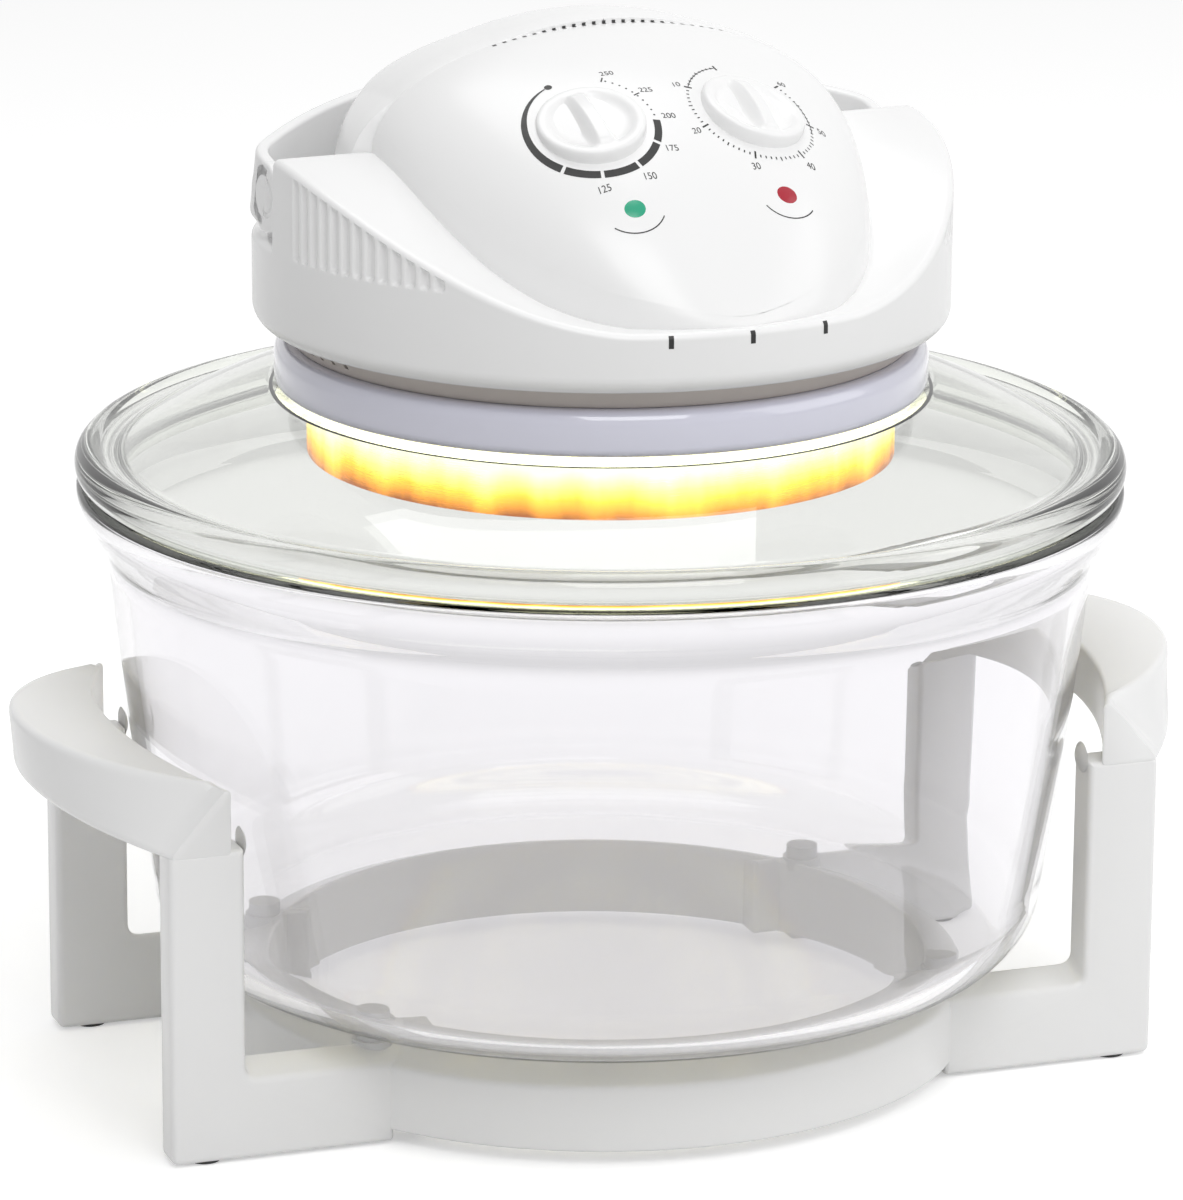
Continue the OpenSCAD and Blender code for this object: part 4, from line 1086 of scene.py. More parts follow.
@dataclass
class HeadShell:
    """The white shell: a band that rises to two shoulders, and a dome in the middle.

    Angles run from the front of the head towards its right side, in degrees.
    """

    band_z: float = 243.5
    crease_z: float = 262.5
    shoulder_z: float = 301.5
    rear_z: float = 273.0
    apex_z: float = 336.5
    radius: float = 110.7
    lip: float = 106.0
    dome_x: float = 78.0
    dome_y: float = 106.5
    hump_x: float = 87.0
    hump_y: float = 60.0
    hump_rise: float = 2.9
    wall: float = 2.6
    step: float = 91.8
    grooves: int = 13
    groove_start: float = 51.0
    groove_span: float = 32.0
    groove_deep: float = 1.9
    vent_pitch: float = 3.4
    vent_half: float = 0.6
    pivot_y: float = 17.0
    pivot_z: float = 286.5
    ear_half: float = 9.5
    ear_x: float = 103.5

    def shoulder(self, a: Array) -> Array:
        """Height of the band's edge before the step: level in front, an S up to the side."""
        u = np.clip((a - 20.0) / 70.0, 0, 1)
        rise = 0.75 * (1 - np.cos(np.pi * u)) / 2 + 0.25 * u
        return self.crease_z + (self.shoulder_z - self.crease_z) * rise

    def crease(self, a: Array) -> Array:
        """Height of the band's top edge at angle a: level in front, an S up to the shoulder,
        a near-vertical end, and a low band behind."""
        a = np.abs(a)
        rear = self.rear_z - 7.0 * np.clip((a - self.step) / (180 - self.step), 0, 1)
        share = self.behind(a)
        return self.shoulder(a) * (1 - share) + rear * share

    def behind(self, a: Array) -> Array:
        """Share of the rear hump at angle a: none in front of the step, all behind it."""
        return ramp(np.abs(a), self.step - 0.45, self.step + 0.45)

    def foot(self, a: Array) -> Array:
        """Radius of the foot at angle a: an ellipse under the dome, a squarer curve with
        the exponent 2.4 under the hump."""
        share, a = self.behind(a), np.radians(a)
        front = 1 / np.hypot(np.sin(a) / self.dome_x, np.cos(a) / self.dome_y)
        rear = (np.abs(np.sin(a) / self.hump_x) ** 2.4
                + np.abs(np.cos(a) / self.hump_y) ** 2.4) ** (-1 / 2.4)
        return front * (1 - share) + rear * share

    def arch(self, x: Array) -> Array:
        """Height of the hump's front edge over x: a parabola, kept above the dome's edge."""
        low = self.shoulder_z + (self.apex_z - self.shoulder_z) * np.sqrt(
            np.clip(1 - (x / self.dome_x) ** 2, 0, 1))
        return np.maximum(self.apex_z + self.hump_rise - 38.0 * (x / 93.0) ** 2, low + 1.1)

    def hump(self, x: Array, y: Array, s: Array, base: Array) -> Array:
        """Height of the rear hump over x, y, at the share s of its foot radius.

        Level behind its front edge, then rounded down to the rear and to the foot.
        """
        top = (self.arch(x) - 1.5 * np.clip(1 - y / 9.0, 0, 1) ** 2 - 2.0 * (y / 32.0) ** 2)
        fall = np.sqrt(np.clip(1 - (np.clip(y, 0, None) / self.hump_y) ** 5, 0, 1))
        return base + (top - base) * fall * np.clip(1 - s ** 24, 0, 1) ** (1 / 3)

    def crest(self, t: Array) -> Array:
        """Height of the dome's crest at the share t of its half length."""
        soft = (np.hypot(t, 0.08) - 0.08) / (np.hypot(1, 0.08) - 0.08)
        return self.apex_z - (self.apex_z - self.crease_z) * (0.45 * soft + 0.55 * soft ** 3)

    def dome(self, x: Array, y: Array) -> Array:
        """Height of the dome over x, y.

        Each cross section stands on a foot as high as the shoulder beside it and is the root
        of one less a power of its share of the half width: the square at the crest, nearly
        the fourth power at the front.

        Args:
            x: places across the head.
            y: places along the head, the front at negative values.

        Returns:
            Heights.
        """
        t = np.abs(y) / self.dome_y
        width = self.dome_x * np.sqrt(np.clip(1 - t * t, 1e-4, 1))
        foot = self.shoulder(np.degrees(np.arctan2(np.abs(x), np.abs(y))))
        share = np.sqrt(np.clip(1 - np.clip(np.abs(x) / width, 0, 1) ** (2 + 2 * t), 0, 1))
        return foot + (self.crest(t) - foot) * share

    def columns(self) -> Array:
        """Angles of the shell's columns, closer at the grooves and at the shoulders' ends."""
        half = np.concatenate([np.linspace(0, 47, 48, endpoint=False),
                               np.linspace(47, 86, 235, endpoint=False),
                               np.linspace(86, self.step - 0.6, 10, endpoint=False),
                               np.linspace(self.step - 0.6, self.step + 0.6, 13, endpoint=False),
                               np.linspace(self.step + 0.6, 180, 90, endpoint=False)])
        return np.concatenate([half, [180.0], -half[:0:-1]])

    def groove_depth(self, a: Array, z: Array, top: Array) -> Array:
        """How far the grip grooves sink into the band at angle a and height z.

        Each groove is a smooth trough; it begins at one level and ends in a round top just
        under the band's edge.
        """
        a = np.abs(a)
        pitch = self.groove_span / (self.grooves - 1)
        phase = (a - self.groove_start) / pitch
        inside = (phase > -0.5) & (phase < self.grooves - 0.5)
        off = np.abs(phase - np.round(phase))
        trough = 1 - ramp(off, 0.12, 0.40)
        window = ramp(z, 272.6, 273.8) * (1 - ramp(z, top - 3.4, top - 1.2))
        return np.where(inside, self.groove_deep * trough * window, 0.0)

    def outer(self) -> Array:
        """Grid of the outer skin, columns by rows, from the lip to the apex."""
        a = self.columns()[:, None]
        top = self.crease(a)
        lip_t = np.linspace(0, np.pi / 2, 9)[None, :]
        lip_r = self.lip + (self.radius - self.lip) * np.sin(lip_t) + 0 * a
        lip_h = self.band_z + 5.5 * (1 - np.cos(lip_t)) + 0 * a
        share = np.linspace(0, 1, 66)[None, 1:]
        band_low = self.band_z + 5.5
        band_h = band_low + (top - 2.2 - band_low) * share
        band_r = self.radius - self.groove_depth(a, band_h, top)
        edge_t = np.linspace(0, np.pi / 2, 8)[None, 1:]
        edge_r = self.radius - 2.2 * (1 - np.cos(edge_t)) + 0 * a
        edge_h = top - 2.2 + 2.2 * np.sin(edge_t)
        foot = self.foot(a)
        ledge_t = np.linspace(0, 1, 14)[None, 1:]
        ledge_r = (self.radius - 2.2) + (foot - self.radius + 2.2) * ledge_t
        ledge_h = top - 0.35 * ramp(ledge_t, 0.93, 1.0) + 0 * a
        s = 1 - np.concatenate([[0.0006, 0.002, 0.005, 0.01, 0.017],
                                np.linspace(0.027, 0.999, 84) ** 1.15])[None, :]
        dome_r = foot * s
        radians = np.radians(a)
        x, y = dome_r * np.sin(radians), -dome_r * np.cos(radians)
        share = self.behind(a)
        dome_h = np.maximum((1 - share) * self.dome(x, y) + share * self.hump(x, y, s, top), top)
        r = np.concatenate([lip_r, band_r, edge_r, ledge_r, dome_r], 1)
        z = np.concatenate([lip_h, band_h, edge_h, ledge_h, dome_h], 1)
        return np.stack([r * np.sin(radians), -r * np.cos(radians), z], -1)

    def build(self) -> None:
        """Makes the shell with its thin inner lip."""
        grid = turned(self.outer())
        shell = Surface().grid(grid, wrap_u=True)
        inside = spun(rounded([(self.lip, self.band_z, 0), (self.lip - self.wall, self.band_z, 0.8),
                               (self.lip - self.wall, self.band_z + 3, 1.0),
                               (self.radius - self.wall, self.band_z + 8, 2.0),
                               (self.radius - self.wall, self.band_z + 16, 0)]), 192)
        shell = joined(shell, Surface().grid(turned(inside), wrap_u=True, flip=True))
        fitted(shell, "head_shell", Finish.WHITE, Body.HEAD, ["upper_housing"],
               crease=46.0)

    def slot_shade_strips(self) -> Surface:
        """Painted shade for the air slots in the hump's front: black strips laid on the surface,
        following the dome, then the step.
        """
        parts = []
        for x in self.vent_pitch * np.arange(-11, 13):
            sides = x + np.array([-self.vent_half, self.vent_half])
            low = self.dome(sides, np.array([-0.9, -0.9])) + 0.07
            step_y = abs(x) * math.tan(math.radians(1.1)) - 0.06
            high = self.hump(sides, np.array([0.8, 0.8]), np.array([0.1, 0.1]), low) - 0.7
            rows = [np.stack([sides, 0 * sides + y, z], -1)
                    for y, z in ((-0.9, low), (step_y, low), (step_y, np.maximum(high, low)))]
            parts.append(Surface().grid(turned(np.stack(rows)), flip=True))
        return joined(*parts)

    def ears(self) -> Surface:
        """The two bosses that hold the handle's pins: a tombstone outline carried along X."""
        parts = []
        for side in (-1, 1):
            a = np.radians(np.linspace(0, 180, 13))
            arch = np.stack([self.pivot_y + self.ear_half * np.cos(a),
                             self.pivot_z + self.ear_half * np.sin(a), 1.2 + 0 * a], -1)
            outline = [(self.pivot_y - self.ear_half, 270.0, 1.0),
                       (self.pivot_y + self.ear_half, 270.0, 1.0)] + arch.tolist()
            body = plate(outline, 62.0, self.ear_x, 1.0)
            body = placed(body, lambda p, s=side: np.stack([s * p[:, 2], p[:, 0], p[:, 1]], -1))
            parts.append(Stand.turned_out(body, side > 0))
        return placed(joined(*parts), turned)


# ---------------------------------------------------------------- dials, lamps and prints


@dataclass(frozen=True)
class Seat:
    """A place on the dome where a dial or lens sits, tipped forwards and outwards."""

    x: float
    y: float
    z: float
    tilt: float
    roll: float

    def put(self, local: Array) -> Array:
        """Points given in the seat's own axes, in the head's axes."""
        tipped = tilted(tilted(local, self.roll, "Y"), self.tilt, "X")
        return tipped + np.array([self.x, self.y, self.z])


def knob_surface(seat: Seat, radius: float, height: float) -> Surface:
    """A knob: a dished disc with a soft bar across it, on a polar grid.

    The height follows the radius: up the side, over a rounded rim and down into a shallow dish.
    The bar adds a smooth ridge where the distance from the middle line is small.

    Args:
        seat: where the knob sits.
        radius: its outer radius.
        height: height of its rim.

    Returns:
        The surface, in the row frame.
    """
    side = rounded([(radius - 0.7, -0.9, 0), (radius, -0.4, 0.5), (radius, height - 1.3, 0),
                    (radius - 0.5, height, 1.5), (radius - 3.0, height + 0.1, 1.5),
                    (radius - 5.6, height - 1.9, 2.5), (0.0, height - 2.4, 0)])
    r = np.concatenate([side[:-1, 0], np.linspace(side[-2, 0], 0.0, 26)[1:]])
    z = np.concatenate([side[:-1, 1], np.interp(r[len(side) - 1:], [0, side[-2, 0]],
                                                [height - 2.4, side[-2, 1]])])
    grid = spun(np.stack([r, z], -1), 180)
    x, y = grid[..., 0], grid[..., 1]
    over = r[None, :] < radius - 1.5
    end = 1 - ramp(np.abs(y), radius - 5.5, radius - 1.8)
    ridge = (1 - ramp(np.abs(x), 1.6, 4.8)) * end
    crown = height + 2.6 - y ** 2 / 90.0
    grid[..., 2] = np.where(over, np.maximum(grid[..., 2],
                                             grid[..., 2] * (1 - ridge) + crown * ridge),
                            grid[..., 2])
    surface = Surface().grid(grid, wrap_u=True)
    surface.patch(grid[:, 0], flip=True)
    return placed(surface, lambda p: turned(seat.put(p)))


@dataclass
class Panel:
    """The controls on the dome: two dials, two lamps and the printed scales."""

    shell: HeadShell
    dial_x: float = 27.0
    dial_y: float = 50.0
    dial_z: float = 314.0
    dial_tilt: float = 23.5
    lens_x: float = 26.0
    lens_y: float = 77.0
    lens_z: float = 294.75
    lens_tilt: float = 40.0
    roll: float = 11.0
    knob_r: float = 17.0
    knob_h: float = 4.5
    lens_r: float = 6.8
    ring_r: float = 20.6
    film: float = 0.07

    def dial(self, side: int) -> Seat:
        """The seat of the dial at that side."""
        return Seat(side * self.dial_x, -self.dial_y, self.dial_z, self.dial_tilt,
                    side * self.roll)

    def lens(self, side: int) -> Seat:
        """The seat of the lens at that side."""
        return Seat(side * self.lens_x, -self.lens_y, self.lens_z, self.lens_tilt,
                    side * self.roll)

    def on_dome(self, seat: Seat, local: Array) -> Array:
        """Lays points of a seat's plane on the dome, a film's thickness above it."""
        point = seat.put(local)
        x, y = point[..., 0], point[..., 1]
        z = self.shell.dome(x, y) + self.film
        return turned(np.stack([x, y, z], -1))

    def arc(self, seat: Seat, r: float, start: float, end: float, width: Array) -> Surface:
        """A printed arc.

        Args:
            seat: the dial's seat.
            r: radius of the arc's middle line.
            start: first angle in degrees, clockwise from the top.
            end: last angle.
            width: width of the line, one value or one for each of its steps.

        Returns:
            The surface.
        """
        steps = max(2, int(abs(end - start) / 2) + 1)
        a = np.radians(np.linspace(start, end, steps))[:, None]
        half = np.broadcast_to(np.asarray(width, float).reshape(-1, 1) / 2, (steps, 1))
        rows = r + half * np.array([[1.0, -1.0]])
        local = np.stack([rows * np.sin(a), rows * np.cos(a), 0 * rows], -1)
        flip = end < start
        return Surface().grid(self.on_dome(seat, local), flip=flip)

    def tick(self, seat: Seat, angle: float, inner: float, outer: float,
             width: float = 0.45) -> Surface:
        """A printed tick across the scale at an angle, clockwise from the top."""
        a = math.radians(angle)
        along = np.array([math.sin(a), math.cos(a), 0.0])
        across = np.array([math.cos(a), -math.sin(a), 0.0])
        rows = np.array([[inner * along - width / 2 * across, inner * along + width / 2 * across],
                         [outer * along - width / 2 * across, outer * along + width / 2 * across]])
        return Surface().grid(self.on_dome(seat, rows), flip=True)

    def dot(self, seat: Seat, angle: float, r: float, size: float) -> Surface:
        """A printed round dot on the scale."""
        a = np.radians(np.linspace(0, 360, 20, endpoint=False))
        centre = np.array([r * math.sin(math.radians(angle)), r * math.cos(math.radians(angle))])
        local = np.stack([centre[0] + size * np.cos(a), centre[1] + size * np.sin(a), 0 * a], -1)
        return Surface().patch(self.on_dome(seat, local))

    def number(self, seat: Seat, text: str, angle: float, r: float, size: float) -> Surface:
        """A number printed upright beside the scale.

        Args:
            seat: the dial's seat.
            text: the digits.
            angle: where on the scale, clockwise from the top.
            r: distance of the number's middle from the dial's centre.
            size: height of the digits' box.

        Returns:
            The surface, made from the outline of plain text.
        """
        curve = bpy.data.curves.new("digits", "FONT")
        curve.body, curve.size = text, size
        curve.align_x, curve.align_y = "CENTER", "CENTER"
        holder = bpy.data.objects.new("digits", curve)
        bpy.context.scene.collection.objects.link(holder)
        bpy.context.view_layer.update()
        mesh = bpy.data.meshes.new_from_object(holder.evaluated_get(
            bpy.context.evaluated_depsgraph_get()))
        points = np.empty(len(mesh.vertices) * 3)
        mesh.vertices.foreach_get("co", points)
        points = points.reshape(-1, 3)
        a = math.radians(angle)
        points = points + np.array([r * math.sin(a), r * math.cos(a), 0.0])
        surface = Surface()
        for polygon in mesh.polygons:
            surface.patches.append((list(polygon.vertices), len(polygon.vertices)))
        surface.points.append(self.on_dome(seat, points))
        surface.count = len(points)
        bpy.data.objects.remove(holder)
        bpy.data.meshes.remove(mesh)
        bpy.data.curves.remove(curve)
        return surface

    def temperature_scale(self) -> Surface:
        """A thick line that swells from a dot, then barred blocks, then dots, with numbers."""
        seat, r = self.dial(-1), self.ring_r
        thick = np.interp(np.linspace(0, 1, 56), [0, 0.45, 1.0], [0.5, 1.9, 2.3])
        parts = [self.arc(seat, r, -22, -132, thick), self.dot(seat, -18, r, 1.25)]
        for start, end in ((-135, -166), (-169, -201), (-204, -234), (-237, -262)):
            parts.append(self.arc(seat, r, start, end, 2.3))
        parts += [self.dot(seat, a, r, 0.33) for a in np.arange(92, 34, -6.4)]
        parts += [self.tick(seat, a, r - 0.9, r + 1.6) for a in (64, 31)]
        for text, angle in (("125", -167), ("150", -203), ("175", -236), ("200", 93),
                            ("225", 64), ("250", 33)):
            parts.append(self.number(seat, text, angle, r + 4.6, 3.1))
        return joined(*parts)

    def timer_scale(self) -> Surface:
        """Fine ticks all round the dial but for its top, with a longer one at each ten."""
        seat, r = self.dial(1), self.ring_r
        parts = [self.arc(seat, r, -10, -60, 0.3), self.arc(seat, r, -250, -290, 0.3)]
        angles = np.linspace(-10, -310, 61)
        for i, angle in enumerate(angles):
            long = i % 10 == 0
            half = i % 5 == 0
            parts.append(self.tick(seat, angle, r - (1.3 if long else 0.45),
                                   r + (1.3 if long else 0.8 if half else 0.45),
                                   0.6 if long else 0.42))
        for text, i in (("10", 10), ("20", 20), ("30", 30), ("40", 40), ("50", 50), ("60", 60)):
            parts.append(self.number(seat, text, angles[i], r + 4.0, 3.1))
        return joined(*parts)

    def lamp_arcs(self) -> Surface:
        """A thin printed arc under each lens."""
        parts = [self.arc(self.lens(side), 10.6, 130 + 6 * side, 232 + 6 * side, 0.35)
                 for side in (-1, 1)]
        return joined(*parts)

    def band_marks(self) -> Surface:
        """Three short marks on the front of the band."""
        parts = []
        for angle in (-13.8, -0.3, 13.2):
            a = np.radians(angle + np.linspace(-0.42, 0.42, 5))[:, None]
            z = np.linspace(258.0, self.shell.crease_z - 0.6, 7)[None, :]
            drop = np.clip(z - (self.shell.crease_z - 2.2), 0, 2.2)
            r = self.shell.radius - 2.2 + np.sqrt(np.maximum(2.2 ** 2 - drop ** 2, 0)) + 0.06
            parts.append(Surface().grid(np.stack([r * np.sin(a), -r * np.cos(a),
                                                  z + 0 * a], -1)))
        return placed(joined(*parts), turned)

    def lens_surface(self, side: int) -> Surface:
        """A low round lens with a soft edge, spun about its seat's axis."""
        r = np.linspace(self.lens_r, 0, 24)
        top = 2.6 * np.sqrt(1 - (r / (self.lens_r * 1.02)) ** 2)
        profile = np.concatenate([[[self.lens_r, -1.2]], np.stack([r, top - 0.4], -1)])
        seat = self.lens(side)
        return placed(Surface().grid(spun(profile, 72), wrap_u=True),
                      lambda p: turned(seat.put(p)))

    def build(self) -> None:
        """Makes the dials, lenses and prints."""
        for side, name, body in ((-1, "temperature", Body.TEMPERATURE), (1, "timer", Body.TIMER)):
            knob = knob_surface(self.dial(side), self.knob_r, self.knob_h)
            fitted(knob, f"{name}_dial_knob", Finish.WHITE, body, [f"{name}_knob"])
        for side, name, finish in ((-1, "heat", Finish.GREEN), (1, "power", Finish.RED)):
            fitted(self.lens_surface(side), f"{name}_lamp_lens", finish, Body.HEAD,
                   [f"{name}_lens"])
        prints = {"temperature_scale": self.temperature_scale, "timer_scale": self.timer_scale,
                  "lamp_arcs": self.lamp_arcs, "band_marks": self.band_marks}
        for name, maker in prints.items():
            fitted(maker(), name, Finish.INK, Body.HEAD)


# ---------------------------------------------------------------- the carry handle


@dataclass
class Bail:
    """The carry handle: a flat strap bent to an arch, with a round eye at each pivot."""

    half: float = 108.0
    arch: float = 150.0
    turn: float = 14.0
    height: float = 59.0
    thick: float = 4.0
    width: float = 22.0
    lean: float = 75.0
    pivot_y: float = 17.0
    pivot_z: float = 286.5

    def path(self) -> tuple[Array, Array]:
        """Middle line of the strap in its own plane, and the outward direction along it."""
        turn_x, middle = self.half - self.turn, self.height - self.arch
        rise = math.sqrt((self.arch - self.turn) ** 2 - turn_x ** 2)
        a = math.atan2(rise, turn_x)
        low = np.linspace(0, middle + rise, 6)[:-1]
        turn_a = np.linspace(0, a, 14)[:-1]
        arch_a = np.linspace(a, np.pi - a, 90)
        inset = self.thick / 2
        legs = np.stack([np.full(5, self.half - inset), low], -1)
        corner = np.stack([turn_x + (self.turn - inset) * np.cos(turn_a),
                           middle + rise + (self.turn - inset) * np.sin(turn_a)], -1)
        crown = np.stack([(self.arch - inset) * np.cos(arch_a),
                          middle + (self.arch - inset) * np.sin(arch_a)], -1)
        right = np.concatenate([legs, corner])
        out_right = np.concatenate([np.tile([1.0, 0.0], (5, 1)),
                                    np.stack([np.cos(turn_a), np.sin(turn_a)], -1)])
        flip = np.array([-1.0, 1.0])
        line = np.concatenate([right, crown, right[::-1] * flip])
        out = np.concatenate([out_right, np.stack([np.cos(arch_a), np.sin(arch_a)], -1),
                              out_right[::-1] * flip])
        return line, out

    def put(self, local: Array) -> Array:
        """Points of the handle's own axes, in the row frame at rest."""
        leaned = tilted(local, 90.0 - self.lean, "X")
        return turned(leaned + np.array([0.0, self.pivot_y, self.pivot_z]))

    def strap(self) -> Surface:
        """A flat section with rounded edges carried along the middle line."""
        line, out = self.path()
        section = rounded([(self.thick / 2, -self.width / 2, 1.5),
                           (self.thick / 2, self.width / 2, 1.5),
                           (-self.thick / 2, self.width / 2, 1.3),
                           (-self.thick / 2, -self.width / 2, 1.3)], closed=True, steps=4)
        across, wide = section[None, :, :1], section[None, :, 1:]
        flat = line[:, None, :] + across * out[:, None, :]
        grid = np.concatenate([flat, np.broadcast_to(wide, flat.shape[:2] + (1,))], -1)
        surface = Surface().grid(grid, wrap_v=True, flip=True)
        return surface.patch(grid[0]).patch(grid[-1], flip=True)

    def eyes(self) -> Surface:
        """The round eye at each pivot, with a recessed cap over the pin's end."""
        parts = []
        r = self.width / 2 + 0.4
        face = self.thick / 2
        profile = rounded([(0.0, -face, 0), (r, -face, 1.0), (r, face, 1.2),
                           (r - 4.6, face, 0.3), (r - 5.0, face - 0.7, 0.3),
                           (r - 6.2, face - 0.7, 0.4), (r - 6.8, face - 0.1, 0.8),
                           (0.0, face, 0)])
        for side in (-1, 1):
            disc = spun(profile, 96)
            grid = np.stack([side * (self.half - face + disc[..., 2]),
                             disc[..., 1], disc[..., 0]], -1)
            parts.append(Stand.turned_out(Surface().grid(grid, wrap_u=True), side < 0))
        return joined(*parts)

    def build(self) -> None:
        """Makes the handle."""
        whole = placed(joined(self.strap(), self.eyes()), self.put)
        fitted(whole, "handle_strap", Finish.WHITE, Body.HANDLE,
               ["carry_handle"], crease=40.0, recalculate=True)


# ---------------------------------------------------------------- the collar


@dataclass
class HeaterCollar:
    """The glossy collar on the lid."""

    lid_z: float = 222.0
    radius: float = 104.0
    height: float = 13.8

    def build(self) -> None:
        """Makes the collar."""
        z0, z1 = self.lid_z + 0.5, self.lid_z + 1.2 + self.height
        collar = rounded([
            (self.radius - 15, z0 + 0.7, 0.5), (self.radius - 3.5, z0 + 0.7, 0.4),
            (self.radius - 3.5, z0, 0.4), (self.radius - 1.2, z0, 0.9),
            (self.radius, z0 + 1.6, 1.2), (self.radius, z1 - 3.4, 2.2),
            (self.radius - 2.0, z1 - 0.2, 2.0), (self.radius - 9, z1 - 0.1, 0.5),
            (self.radius - 9, z0 + 3.7, 0.5), (self.radius - 15, z0 + 3.7, 0.5)], closed=True)
        fitted(spun_surface(collar, 256, HEAD_TURN), "collar_ring", Finish.COLLAR, Body.HEAD,
               ["lid_collar"])


# ---------------------------------------------------------------- nodes shown as they are

CARRIED: dict[str, Finish] = {
    "bowl_rests": Finish.SATIN, "side_stops": Finish.SATIN, "stand_feet": Finish.RUBBER,
    # Painted light: the seals and the heater shroud emit as if the lamp lit them.
    "upper_gasket": Finish.LIT, "lower_gasket": Finish.LIT,
    "heater_shroud": Finish.HOT, "insulation_pad": Finish.FIBRE, "heat_shield": Finish.STEEL,
    "clamp_screws": Finish.SCREW, "halogen_lamp": Finish.QUARTZ,
    "lamp_filament": Finish.TUNGSTEN, "lamp_caps": Finish.STEATITE,
    "lamp_clips": Finish.STEEL, "heater_guard": Finish.CHROME, "guard_clips": Finish.STEEL,
    "lower_housing": Finish.TUB, "housing_screws": Finish.SCREW,
    "motor_stack": Finish.LAMINATION, "motor_coil": Finish.COPPER,
    "motor_brackets": Finish.STEEL, "motor_screws": Finish.SCREW,
    "motor_rotor": Finish.LAMINATION, "fan_shaft": Finish.STEEL,
    "hot_air_fan": Finish.BRIGHT, "cooling_fan": Finish.BRIGHT, "fan_nut": Finish.SCREW,
    "timer_unit": Finish.CASE, "timer_spindle": Finish.STEEL,
    "thermostat_unit": Finish.STEEL, "thermostat_spindle": Finish.STEEL,
    "indicator_lamps": Finish.NYLON, "interlock_switch": Finish.BLACK,
    "interlock_plunger": Finish.ORANGE, "handle_pins": Finish.STEEL,
    "interlock_lever": Finish.SATIN, "thermal_fuse": Finish.STEATITE,
    "terminal_block": Finish.NYLON, "cord_gland": Finish.GLAND,
}


def dress_nodes() -> None:
    """Gives each node that is shown as it is its finish."""
    for name, finish in CARRIED.items():
        dressed(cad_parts[name], finish)
        LOG.info("%s: carried over, %s", name, finish.value.name)


# ---------------------------------------------------------------- studio


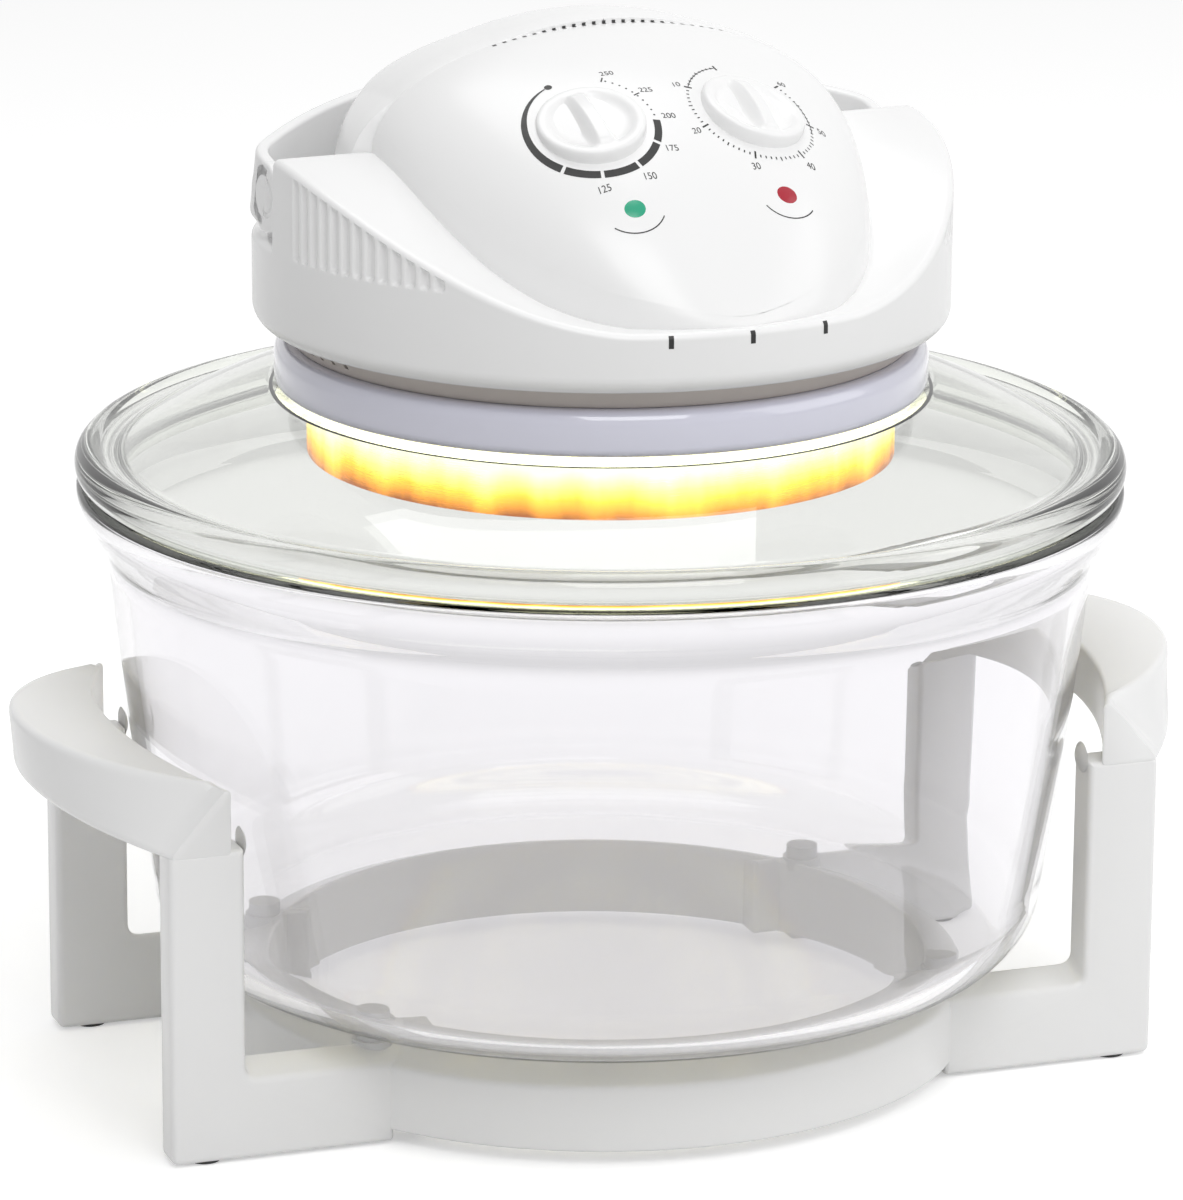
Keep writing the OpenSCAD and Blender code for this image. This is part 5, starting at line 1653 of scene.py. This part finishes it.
@dataclass
class Studio:
    """The floor, the lights and the camera at the photograph's angle."""

    place: tuple[float, float, float] = (-679.6, -1889.5, 716.9)
    elevation: float = 15.8
    azimuth: float = -19.71
    roll: float = 0.4
    focal_px: float = 6497.2
    width_px: int = 1183
    sensor: float = 36.0
    world_light: float = 0.42
    floor_light: float = 0.42
    floor_half: float = 6000.0
    floor_z: float = -0.2

    def camera(self) -> None:
        """Sets the camera that was worked out from the photograph."""
        data = bpy.data.cameras.new("camera")
        data.sensor_fit = "HORIZONTAL"
        data.sensor_width = self.sensor
        data.lens = self.focal_px * self.sensor / self.width_px
        data.clip_start, data.clip_end = 0.05, 60.0
        obj = bpy.data.objects.new("camera", data)
        e, a = math.radians(self.elevation), math.radians(self.azimuth)
        back = Vector((math.sin(a) * math.cos(e), -math.cos(a) * math.cos(e), math.sin(e)))
        right = Vector((math.cos(a), math.sin(a), 0.0))
        up = back.cross(right)
        c, s = math.cos(math.radians(self.roll)), math.sin(math.radians(self.roll))
        axes = Matrix((right * c + up * s, up * c - right * s, back)).transposed()
        obj.matrix_world = Matrix.Translation(Vector(self.place) * MM) @ axes.to_4x4()
        bpy.context.scene.collection.objects.link(obj)
        bpy.context.scene.camera = obj

    def lamp(self, name: str, place: Vector, size: float, power: float) -> None:
        """A square soft light that looks at the oven.

        Args:
            name: the light's name.
            place: where it hangs, in metres.
            size: its side, in metres.
            power: watts.
        """
        data = bpy.data.lights.new(name, "AREA")
        data.shape, data.size, data.energy = "SQUARE", size, power
        obj = bpy.data.objects.new(name, data)
        obj.location = place
        aim = Vector((0.0, 0.0, 0.17)) - place
        obj.rotation_euler = aim.to_track_quat("-Z", "Y").to_euler()
        bpy.context.scene.collection.objects.link(obj)

    @staticmethod
    def seen(tree: bpy.types.NodeTree) -> Socket:
        """1 for the camera's rays and for what glass and gloss show, 0 for lighting rays."""
        path = tree.nodes.new("ShaderNodeLightPath")
        some = math_node(tree, "MAXIMUM", path.outputs["Is Camera Ray"],
                         path.outputs["Is Glossy Ray"])
        return math_node(tree, "MAXIMUM", some, path.outputs["Is Transmission Ray"])

    def world(self) -> None:
        """A soft world light, white to the eye."""
        world = bpy.data.worlds.new("studio")
        world.use_nodes = True
        bpy.context.scene.world = world
        tree = world.node_tree
        back = next(n for n in tree.nodes if n.type == "BACKGROUND")
        strength = spread(tree, self.seen(tree), self.world_light, 1.0, 0.0, 1.0)
        sockets(back, {"Color": (1.0, 1.0, 1.0, 1.0), "Strength": strength})

    def floor(self) -> None:
        """A plain pale floor that keeps the oven's shadow."""
        material, tree, shader = blank("floor_paper")
        tree.nodes.remove(shader)
        out = next(n for n in tree.nodes if n.type == "OUTPUT_MATERIAL")
        diffuse = sockets(tree.nodes.new("ShaderNodeBsdfDiffuse"),
                          {"Color": shade(0.93, 0.93, 0.93)})
        light = tree.nodes.new("ShaderNodeEmission")
        sockets(light, {"Color": (1.0, 1.0, 1.0, 1.0),
                        "Strength": math_node(tree, "MULTIPLY", self.seen(tree),
                                              self.floor_light)})
        both = tree.nodes.new("ShaderNodeAddShader")
        tree.links.new(diffuse.outputs[0], both.inputs[0])
        tree.links.new(light.outputs[0], both.inputs[1])
        tree.links.new(both.outputs[0], out.inputs["Surface"])
        corners = np.array([[self.floor_half * u, self.floor_half * v, self.floor_z]
                            for u, v in ((-1, -1), (1, -1), (1, 1), (-1, 1))])
        obj = Surface().patch(corners).build("floor")
        obj.data.materials.append(material)

    def build(self) -> None:
        """Sets up the studio."""
        self.camera()
        self.world()
        self.floor()
        self.lamp("key_light", Vector((-0.2, -1.9, 2.3)), 1.6, 26.0)
        self.lamp("fill_light", Vector((1.9, -1.0, 1.2)), 1.8, 11.5)
        self.lamp("top_light", Vector((0.1, 0.5, 2.4)), 1.4, 13.0)
        bpy.context.scene.view_settings.view_transform = "Standard"


def main() -> None:
    """Builds the oven's assemblies in order, then the studio."""
    logging.basicConfig(level=logging.INFO, format="%(message)s")
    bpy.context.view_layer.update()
    shell = HeadShell()
    Stand().build()
    Bowl().build()
    Lid().build()
    HeaterCollar().build()
    shell.build()
    fitted(shell.ears(), "pivot_ears", Finish.WHITE, Body.HEAD, crease=40.0)
    # Black strips painted as the shade inside the crest's air slots.
    fitted(shell.slot_shade_strips(), "crest_slot_painted_shade", Finish.BLACK, Body.HEAD, crease=60.0)
    Panel(shell).build()
    Bail().build()
    dress_nodes()
    Studio().build()


if __name__ == "__main__":
    main()
